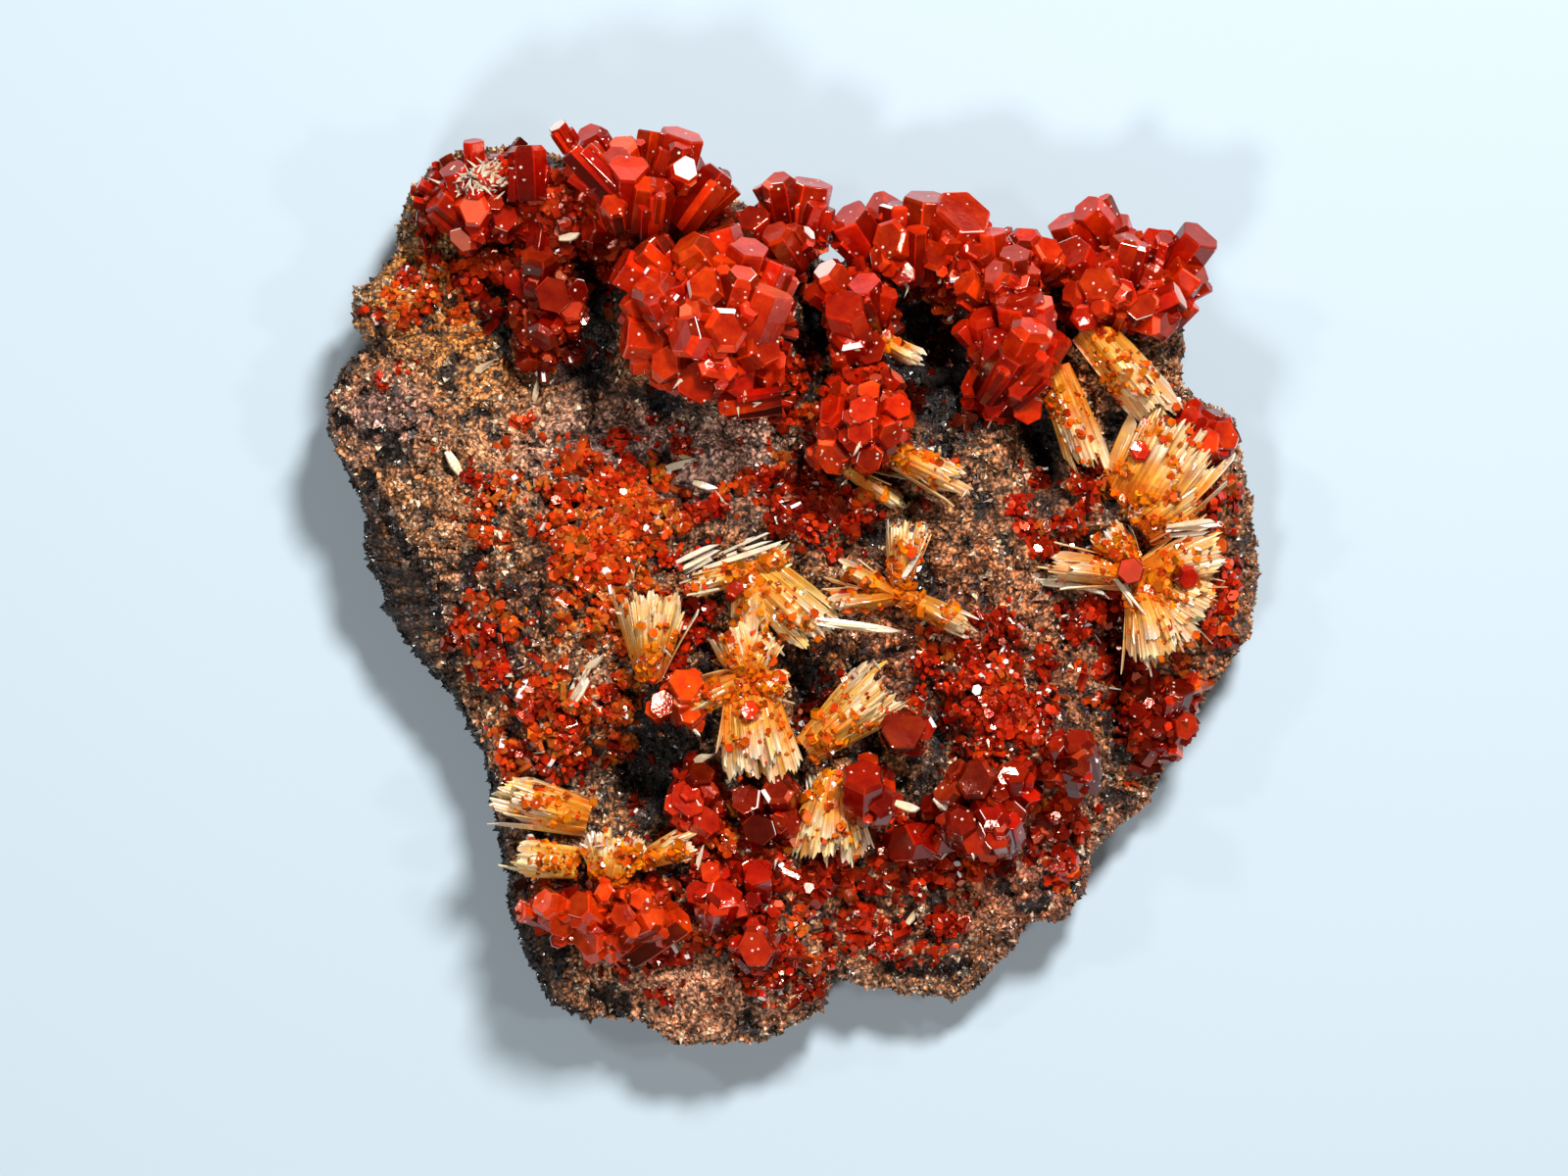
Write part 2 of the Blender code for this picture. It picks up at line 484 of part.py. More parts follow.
def spray(name, root, depth, heading, blades, reach, rise, width, groove, grow):
    """Blades side by side on edge, as one wedge: its top rises to a crest along each blade and
    falls to a groove between two, and each blade ends at its own reach."""
    (first, last), (start, end) = heading, reach
    bm = bmesh.new()
    bmesh.ops.create_grid(bm, x_segments=2 * blades, y_segments=1, size=1)
    top = list(bm.verts)
    step, share = ((np.array([v.co for v in top]) + 1) / 2)[:, :2].T
    step = np.rint(step * 2 * blades).astype(int)
    crest = step % 2 == 1
    uneven = lattice_value(step, step * 0, blades + round(abs(first)))
    length = end * np.where(crest, 1 - UNEVEN_REACH * uneven, NOTCH) + grow
    radius = (start - grow) + share * (length - start + grow)
    turn = np.radians(first + (last - first) * step / (2 * blades))
    outward = (step == 2 * blades).astype(float) - (step == 0)
    turn = turn + outward * grow / np.maximum(radius, HUB_ACROSS * width)
    half = width / 2 * (1 - (1 - BLADE_TIP) * radius / end) * np.where(crest, 1, 1 - groove)
    x, y = root.x + radius * np.cos(turn), root.y + radius * np.sin(turn)
    place(top, x, y, root.z + radius * math.sin(math.radians(rise)) + half + grow)
    made = bmesh.ops.extrude_face_region(bm, geom=list(bm.faces), use_keep_orig=True)["geom"]
    for v in made:
        if isinstance(v, bmesh.types.BMVert):
            v.co.z = (root.z - depth - grow) * MM
    bmesh.ops.triangulate(bm, faces=bm.faces, quad_method="FIXED")
    return new_object(name, bm)


def fan(name, grow=0.0):
    """Barite blades that spread from one root, joined in one solid."""
    (x, y, lift, width, groove), sprays = FANS[name]
    root = Vector((x, y, float(rock_height(x, y)) + lift))
    hub = (width * HUB_ACROSS, width * HUB_ACROSS, width * HUB_ABOVE)
    body = core_of(name, root, hub, grow)
    parts = []
    for number, (heading, blades, reach, rise) in enumerate(sprays):
        depth, high = lift + DIG - number * UNEVEN_FAN, width - number * UNEVEN_FAN
        parts.append(
            spray(f"{name}.spray", root, depth, heading, blades, reach, rise, high, groove, grow)
        )
    return boolean(body, parts, "UNION")


def boxes_meet(one, other):
    a = np.array([v.co for v in one.data.vertices])
    b = np.array([v.co for v in other.data.vertices])
    return bool((a.min(0) < b.max(0)).all() and (b.min(0) < a.max(0)).all())


def put_in(collection, obj):
    for owner in list(obj.users_collection):
        owner.objects.unlink(obj)
    collection.objects.link(obj)
    return obj


def as_cutter(obj, collection):
    obj.hide_render = True
    obj.display_type = "WIRE"
    return put_in(collection, obj)


def as_piece(obj, name, material, collection):
    obj.name = name
    obj.data.materials.clear()
    obj.data.materials.append(material)
    return put_in(collection, obj)


def look(name, colour, roughness):
    material = bpy.data.materials.new(name)
    material.use_nodes = True
    shader = material.node_tree.nodes["Principled BSDF"]
    shader.inputs["Base Color"].default_value = colour
    shader.inputs["Roughness"].default_value = roughness
    shader.inputs["Metallic"].default_value = 0.0
    return material


def new_collection(name):
    collection = bpy.data.collections.new(name)
    bpy.context.scene.collection.children.link(collection)
    return collection


def main():
    for obj in list(bpy.data.objects):
        bpy.data.objects.remove(obj)
    specimen, helpers = new_collection("vanadinite_on_matrix"), new_collection("cutters")

    as_piece(rock_plate("matrix"), "matrix", look("matrix", *MATRIX_LOOK), specimen)
    rock_cutter = as_cutter(rock_plate("matrix_cutter", GAP), helpers)
    barite, vanadinite = look("barite", *BARITE_LOOK), look("vanadinite", *VANADINITE_LOOK)
    earlier = []
    for build, names, material in ((fan, FANS, barite), (cluster, CLUSTERS, vanadinite)):
        for name in names:
            piece = build(name)
            near = [cutter for cutter in earlier if boxes_meet(piece, cutter)]
            piece = largest_body(boolean(piece, [rock_cutter, *near], "DIFFERENCE"))
            as_piece(piece, name, material, specimen)
            earlier.append(as_cutter(build(name, GAP), helpers))
            earlier[-1].name = f"{name}_cutter"
    helpers.hide_render = True


if __name__ == "__main__":
    main()
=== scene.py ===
# Vanadinite on matrix: red prisms and pale barite fans on a plate of brown rock, lying on its back.
# Lengths in the dictionaries are millimetres in the part's own frame, with +Z out of the crystal side.
import math

import bpy
import numpy as np
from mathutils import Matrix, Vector


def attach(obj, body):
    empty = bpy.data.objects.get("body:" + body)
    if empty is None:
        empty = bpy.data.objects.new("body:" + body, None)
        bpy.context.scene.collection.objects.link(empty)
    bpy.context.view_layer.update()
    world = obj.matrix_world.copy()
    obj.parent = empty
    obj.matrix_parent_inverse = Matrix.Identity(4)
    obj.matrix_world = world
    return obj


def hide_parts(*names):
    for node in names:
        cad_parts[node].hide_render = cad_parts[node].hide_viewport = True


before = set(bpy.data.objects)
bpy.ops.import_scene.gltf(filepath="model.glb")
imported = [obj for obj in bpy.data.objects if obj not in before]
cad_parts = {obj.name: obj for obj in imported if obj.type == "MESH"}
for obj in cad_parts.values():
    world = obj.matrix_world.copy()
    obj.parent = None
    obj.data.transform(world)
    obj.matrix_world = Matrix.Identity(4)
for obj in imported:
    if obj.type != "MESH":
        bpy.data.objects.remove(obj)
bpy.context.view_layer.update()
mm = 0.001
stage = {
    "cameraHeight": 0.80,  # metres above the table
    "pictureWidth": 160.0,  # of the frame, at the height below
    "sharpHeight": 21.0,
    "lookAt": (-0.7, -0.2),
    # each light's power, place and size
    "lights": {
        "keyLight": (5.9, (0.15, 0.34, 0.60), 0.12),
        "frontLight": (1.5, (-0.16, -0.26, 0.62), 0.10),
        "glintLightLeft": (0.4, (-0.30, 0.22, 0.55), 0.05),
        "glintLightRight": (0.4, (0.34, -0.02, 0.58), 0.05),
    },
    "worldLight": 0.09,
    "floorColour": (184, 199, 209),
}


# arithmetic that the pieces share
def latticeValue(ix, iy, seed):
    # a fixed pseudo-random value from 0 to 1 for each whole-number point
    n = (ix * 374761393 + iy * 668265263 + seed * 974634777) & 0xFFFFFFFF
    n = ((n ^ (n >> 13)) * 1274126177) & 0xFFFFFFFF
    return (n ^ (n >> 16)) / 0xFFFFFFFF


def smoothNoise(x, y, size, seed):
    # value noise from -1 to 1: lattice values blended with 3t^2 - 2t^3 over cells of this size
    u, v = np.asarray(x, float) / size, np.asarray(y, float) / size
    iu, iv = np.floor(u).astype(np.int64), np.floor(v).astype(np.int64)
    fu, fv = u - iu, v - iv
    fu, fv = fu * fu * (3 - 2 * fu), fv * fv * (3 - 2 * fv)
    low = latticeValue(iu, iv, seed) * (1 - fu) + latticeValue(iu + 1, iv, seed) * fu
    high = latticeValue(iu, iv + 1, seed) * (1 - fu) + latticeValue(iu + 1, iv + 1, seed) * fu
    return 2 * (low * (1 - fv) + high * fv) - 1


def smoothStep(low, high, value):
    t = np.clip((value - low) / (high - low), 0, 1)
    return t * t * (3 - 2 * t)


def linear(colour):
    # display values from 0 to 255 to the shader's own light values
    c = np.asarray(colour, float) / 255
    return np.where(c <= 0.04045, c / 12.92, ((c + 0.055) / 1.055) ** 2.4)


def blob(x, y, cx, cy, halfLength, halfWidth, turn):
    # exp(-(a^2 + b^2)), with a and b the offsets along and across a turned ellipse, over its half sizes
    c, s = math.cos(math.radians(turn)), math.sin(math.radians(turn))
    along = ((x - cx) * c + (y - cy) * s) / halfLength
    across = ((y - cy) * c - (x - cx) * s) / halfWidth
    return np.exp(-(along**2 + across**2))


def unit(vectors):
    return vectors / np.linalg.norm(vectors, axis=-1, keepdims=True)


def framesAlong(axes, turns):
    # three unit vectors for each axis: local x and y across it, turned by the angle, and local z along it
    w = unit(axes)
    helper = np.where(np.abs(w[:, 2:3]) < 0.9, [[0.0, 0.0, 1.0]], [[1.0, 0.0, 0.0]])
    u = unit(np.cross(helper, w))
    v = np.cross(w, u)
    c, s = np.cos(turns)[:, None], np.sin(turns)[:, None]
    return np.stack((c * u + s * v, c * v - s * u, w), axis=1)


def putMesh(name, points, faces, finish, values=None, smooth=False):
    # faces is a list of index arrays, one for each number of corners
    faces = [np.asarray(f, np.int32) for f in faces if len(f)]
    loops = np.concatenate([f.reshape(-1) for f in faces])
    sizes = np.concatenate([np.full(len(f), f.shape[1]) for f in faces])
    mesh = bpy.data.meshes.new(name)
    mesh.vertices.add(len(points))
    mesh.vertices.foreach_set("co", (points * mm).astype(np.float32).reshape(-1))
    mesh.loops.add(len(loops))
    mesh.loops.foreach_set("vertex_index", loops.astype(np.int32))
    mesh.polygons.add(len(sizes))
    mesh.polygons.foreach_set("loop_start", (np.cumsum(sizes) - sizes).astype(np.int32))
    mesh.update(calc_edges=True)
    mesh.polygons.foreach_set("use_smooth", np.full(len(sizes), smooth))
    for key, data in (values or {}).items():
        data = np.asarray(data, np.float32)
        if data.ndim == 2:
            layer = mesh.attributes.new(key, "FLOAT_COLOR", "POINT")
            full = np.concatenate((data, np.ones((len(data), 1), np.float32)), axis=1)
            layer.data.foreach_set("color", full.reshape(-1))
        else:
            where = "FACE" if len(data) == len(sizes) else "POINT"
            mesh.attributes.new(key, "FLOAT", where).data.foreach_set("value", data)
    mesh.materials.append(finish)
    piece = bpy.data.objects.new(name, mesh)
    bpy.context.scene.collection.objects.link(piece)
    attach(piece, "root")
    print(f"{name}: {len(points)} points, {int((sizes - 2).sum())} triangles")
    return piece


def repeatFaces(faces, count, each):
    # the same faces for every copy, with each copy's points numbered on from the last
    start = (np.arange(count) * each)[:, None, None]
    return [(np.asarray(f)[None] + start).reshape(-1, np.asarray(f).shape[1]) for f in faces]


def gridFaces(index):
    # quads between neighbouring points of a grid
    return np.stack((index[:-1, :-1], index[1:, :-1], index[1:, 1:], index[:-1, 1:]), axis=-1).reshape(-1, 4)


def ringFaces(rings, columns):
    # quads between neighbouring rings, each ring closed on itself
    i, j = np.meshgrid(np.arange(rings - 1), np.arange(columns), indexing="ij")
    k = (j + 1) % columns
    here, above = i * columns, (i + 1) * columns
    return np.stack((here + j, here + k, above + k, above + j), axis=-1).reshape(-1, 4)


# materials
def addNode(tree, kind, inputs=None, **settings):
    node = tree.nodes.new(kind)
    for key, value in settings.items():
        setattr(node, key, value)
    for key, value in (inputs or {}).items():
        if isinstance(value, bpy.types.NodeSocket):
            tree.links.new(value, node.inputs[key])
        else:
            node.inputs[key].default_value = value
    return node


def newGroup(name, inputs, outputs):
    tree = bpy.data.node_groups.new(name, "ShaderNodeTree")
    for key, (kind, value) in inputs.items():
        socket = tree.interface.new_socket(key, in_out="INPUT", socket_type=kind)
        socket.default_value = value
    for key, kind in outputs.items():
        tree.interface.new_socket(key, in_out="OUTPUT", socket_type=kind)
    return tree, tree.nodes.new("NodeGroupInput").outputs, tree.nodes.new("NodeGroupOutput").inputs


def newFinish(name, shader):
    finish = bpy.data.materials.new(name)
    finish.use_nodes = True
    tree = finish.node_tree
    principled = tree.nodes["Principled BSDF"]
    for key, value in shader.items():
        principled.inputs[key].default_value = value
    return finish, tree, principled


def useGroup(tree, group, inputs):
    return addNode(tree, "ShaderNodeGroup", inputs, node_tree=group)


def mathNode(tree, operation, *values):
    return addNode(tree, "ShaderNodeMath", dict(enumerate(values)), operation=operation).outputs[0]


def rangeNode(tree, value, fromMin, fromMax, toMin=0.0, toMax=1.0):
    names = ("Value", "From Min", "From Max", "To Min", "To Max")
    given = dict(zip(names, (value, fromMin, fromMax, toMin, toMax)))
    return addNode(tree, "ShaderNodeMapRange", given).outputs[0]


def mixNode(tree, factor, first, second, blend="MIX"):
    inputs = {"Factor": factor, 6: first, 7: second}
    return addNode(tree, "ShaderNodeMix", inputs, data_type="RGBA", blend_type=blend).outputs[2]


def noiseNode(tree, place, scale, detail, roughness=0.5):
    inputs = {"Vector": place, "Scale": scale, "Detail": detail, "Roughness": roughness}
    return addNode(tree, "ShaderNodeTexNoise", inputs).outputs["Fac"]


def channel(tree, colour, name):
    return addNode(tree, "ShaderNodeSeparateColor", {"Color": colour}).outputs[name]


def colourOf(tree, red, green, blue):
    return addNode(tree, "ShaderNodeCombineColor", {"Red": red, "Green": green, "Blue": blue}).outputs[0]


grainLook = {
    "lumps": (700.0, 4.0, 0.62),  # the noise's scale, detail and roughness
    "shadedGap": (0.36, 0.78, 0.1),  # painted shade at the cell's edge: share of the cell where it starts and ends, and how dark
    "dullest": 0.9,
    "lumpHeight": 1.4,
}


def sugarGrainGroup():
    # crystalline grain: tint * (1 + contrast * (cell + lump - 1)) * shaded gap, with a round top on each cell and
    # painted shade in the gap between cells
    tree, given, out = newGroup(
        "sugarGrain",
        {"Tint": ("NodeSocketColor", (0.5, 0.5, 0.5, 1)), "Grain": ("NodeSocketFloat", 2400.0),
         "Contrast": ("NodeSocketFloat", 0.6), "Gloss": ("NodeSocketFloat", 0.3)},
        {"Color": "NodeSocketColor", "Roughness": "NodeSocketFloat", "Height": "NodeSocketFloat"},
    )
    place = addNode(tree, "ShaderNodeTexCoord").outputs["Object"]
    cells = addNode(tree, "ShaderNodeTexVoronoi", {"Vector": place, "Scale": given["Grain"]}).outputs
    lump = noiseNode(tree, place, *grainLook["lumps"])
    mixed = mathNode(tree, "ADD", channel(tree, cells["Color"], "Red"), lump)
    centred = mathNode(tree, "SUBTRACT", mixed, 1.0)
    swing = mathNode(tree, "MULTIPLY_ADD", centred, given["Contrast"], 1.0)
    starts, ends, dark = grainLook["shadedGap"]
    shade = mathNode(tree, "MULTIPLY", swing, rangeNode(tree, cells["Distance"], starts, ends, 1.0, dark))
    grey = colourOf(tree, shade, shade, shade)
    tree.links.new(mixNode(tree, 1.0, given["Tint"], grey, "MULTIPLY"), out["Color"])
    spark = channel(tree, cells["Color"], "Green")
    tree.links.new(rangeNode(tree, spark, 0.0, 1.0, given["Gloss"], grainLook["dullest"]), out["Roughness"])
    top = mathNode(tree, "SUBTRACT", 1.0, cells["Distance"])
    tree.links.new(mathNode(tree, "MULTIPLY_ADD", lump, grainLook["lumpHeight"], top), out["Height"])
    return tree


crystalLook = {
    "patches": (5.0, 0.68),  # the noise's detail and roughness
    "brightest": 1.3,  # a face's painted lightness up to which it only shades the colour
    "bright": 2.0,  # where it has turned to the painted sheen
    "paintedGlint": 2.3,  # where it has turned to the painted glint
    # the painted glint's colour
    "paintedGlintColour": (1.0, 0.93, 0.88, 1),
    "specks": (1500.0, 0.16, 0.26, 0.8),  # painted glints on the red crystals, orange crumbs on barite: scale, the radius inside and outside in cells, and strength
    "lines": (2.0, 0.12),  # the noise's detail, and how far it changes the gloss
}


def cloudyCrystalGroup():
    # colour inside a crystal: tint * face * (s, s^warmth, s), with s = 1 + swing * (noise - 0.5); face is each
    # face's painted light and shade, and faces above the brightest turn to a painted sheen and then to a painted
    # glint;
    # fine growth lines in gloss and height
    tree, given, out = newGroup(
        "cloudyCrystal",
        {"Tint": ("NodeSocketColor", (0.5, 0.1, 0.05, 1)), "Patch": ("NodeSocketFloat", 420.0),
         "Swing": ("NodeSocketFloat", 0.5), "Warmth": ("NodeSocketFloat", 2.0),
         "Glints And Specks": ("NodeSocketFloat", 0.05), "Glint And Speck Color": ("NodeSocketColor", (1.0, 0.78, 0.66, 1)),
         "Face Light": ("NodeSocketFloat", 1.0), "Bright": ("NodeSocketColor", (0.95, 0.27, 0.13, 1)),
         "Lines": ("NodeSocketFloat", 2600.0), "Gloss": ("NodeSocketFloat", 0.1)},
        {"Color": "NodeSocketColor", "Roughness": "NodeSocketFloat", "Height": "NodeSocketFloat"},
    )
    look = crystalLook
    place = addNode(tree, "ShaderNodeTexCoord").outputs["Object"]
    centred = mathNode(tree, "SUBTRACT", noiseNode(tree, place, given["Patch"], *look["patches"]), 0.5)
    shade = mathNode(tree, "MULTIPLY_ADD", centred, given["Swing"], 1.0)
    warm = mathNode(tree, "POWER", shade, given["Warmth"])
    faceLight = mathNode(tree, "MINIMUM", given["Face Light"], look["brightest"])
    red, green, blue = (mathNode(tree, "MULTIPLY", s, faceLight) for s in (shade, warm, shade))
    own = mixNode(tree, 1.0, given["Tint"], colourOf(tree, red, green, blue), "MULTIPLY")
    # painted sheen on the lightest faces, then a painted white glint
    paleness = rangeNode(tree, given["Face Light"], look["brightest"], look["bright"])
    paintedGlint = rangeNode(tree, given["Face Light"], look["bright"], look["paintedGlint"])
    faced = mixNode(tree, paintedGlint, mixNode(tree, paleness, own, given["Bright"]), look["paintedGlintColour"])
    # small dots: painted white glints on the red crystals, orange crumbs on barite
    scale, inside, outside, strength = look["specks"]
    dots = addNode(tree, "ShaderNodeTexVoronoi", {"Vector": place, "Scale": scale}).outputs
    few = mathNode(tree, "LESS_THAN", channel(tree, dots["Color"], "Red"), given["Glints And Specks"])
    speck = mathNode(tree, "MULTIPLY", few, rangeNode(tree, dots["Distance"], inside, outside, strength, 0.0))
    tree.links.new(mixNode(tree, speck, faced, given["Glint And Speck Color"]), out["Color"])
    detail, change = look["lines"]
    lines = noiseNode(tree, place, given["Lines"], detail)
    tree.links.new(mathNode(tree, "MULTIPLY_ADD", lines, change, given["Gloss"]), out["Roughness"])
    tree.links.new(lines, out["Height"])
    return tree


sugarGrain = sugarGrainGroup()
cloudyCrystal = cloudyCrystalGroup()


# each finish's values for its group, strength of bump, and values for the shader
finishes = {
    "rock": ({"Grain": 1900.0, "Contrast": 1.8, "Gloss": 0.45}, 0.9, {"IOR": 1.6}),
    "druse": ({"Grain": 2400.0, "Contrast": 1.5, "Gloss": 0.08}, 0.25, {"IOR": 1.7}),
    "vanadinite": (
        {"Patch": 520.0, "Swing": 1.6, "Warmth": 2.6, "Glints And Specks": 0.16, "Lines": 2600.0, "Gloss": 0.03}, 0.25,
        {"IOR": 1.8, "Specular Tint": (1.0, 0.5, 0.4, 1.0), "Subsurface Weight": 0.3,
         "Subsurface Radius": (1.0, 0.16, 0.05), "Subsurface Scale": 0.0014},
    ),
    "smallVanadinite": (
        {"Patch": 800.0, "Swing": 1.4, "Warmth": 2.5, "Glints And Specks": 0.12, "Lines": 4200.0, "Gloss": 0.04}, 0.2,
        {"IOR": 1.75, "Specular Tint": (1.0, 0.5, 0.4, 1.0), "Subsurface Weight": 0.12,
         "Subsurface Radius": (1.0, 0.16, 0.05), "Subsurface Scale": 0.0007},
    ),
    "barite": (
        {"Bright": (1.0, 0.95, 0.85, 1), "Patch": 520.0, "Swing": 0.9, "Warmth": 1.6, "Glints And Specks": 0.2,
         "Glint And Speck Color": (0.85, 0.3, 0.06, 1), "Lines": 3400.0, "Gloss": 0.2}, 0.5,
        {"IOR": 1.64, "Subsurface Weight": 0.25, "Subsurface Radius": (1.0, 0.6, 0.3), "Subsurface Scale": 0.0008},
    ),
}


def makeFinish(name, group, attributes, distance):
    # the group's inputs come from the mesh's attributes and the finish's own values
    look, bump, shader = finishes[name]
    finish, tree, principled = newFinish(name + "Finish", shader)
    inputs = {}
    for key, (attribute, output) in attributes.items():
        inputs[key] = addNode(tree, "ShaderNodeAttribute", attribute_name=attribute).outputs[output]
    group = useGroup(tree, group, {**inputs, **look})
    tree.links.new(group.outputs["Color"], principled.inputs["Base Color"])
    tree.links.new(group.outputs["Roughness"], principled.inputs["Roughness"])
    height = {"Strength": bump, "Distance": distance, "Height": group.outputs["Height"]}
    tree.links.new(addNode(tree, "ShaderNodeBump", height).outputs["Normal"], principled.inputs["Normal"])
    return finish


tinted = {"Tint": ("tint", "Color")}
# the face attribute carries each face's painted light and shade, painted sheen and painted glints
faceted = {"Tint": ("tint", "Color"), "Face Light": ("faceLight", "Fac")}
rockFinish, druseFinish = (makeFinish(name, sugarGrain, tinted, 0.0004) for name in ("rock", "druse"))
vanadiniteFinish, smallVanadiniteFinish, bariteFinish = (
    makeFinish(name, cloudyCrystal, faceted, 0.00006) for name in ("vanadinite", "smallVanadinite", "barite")
)
print("materials ready")


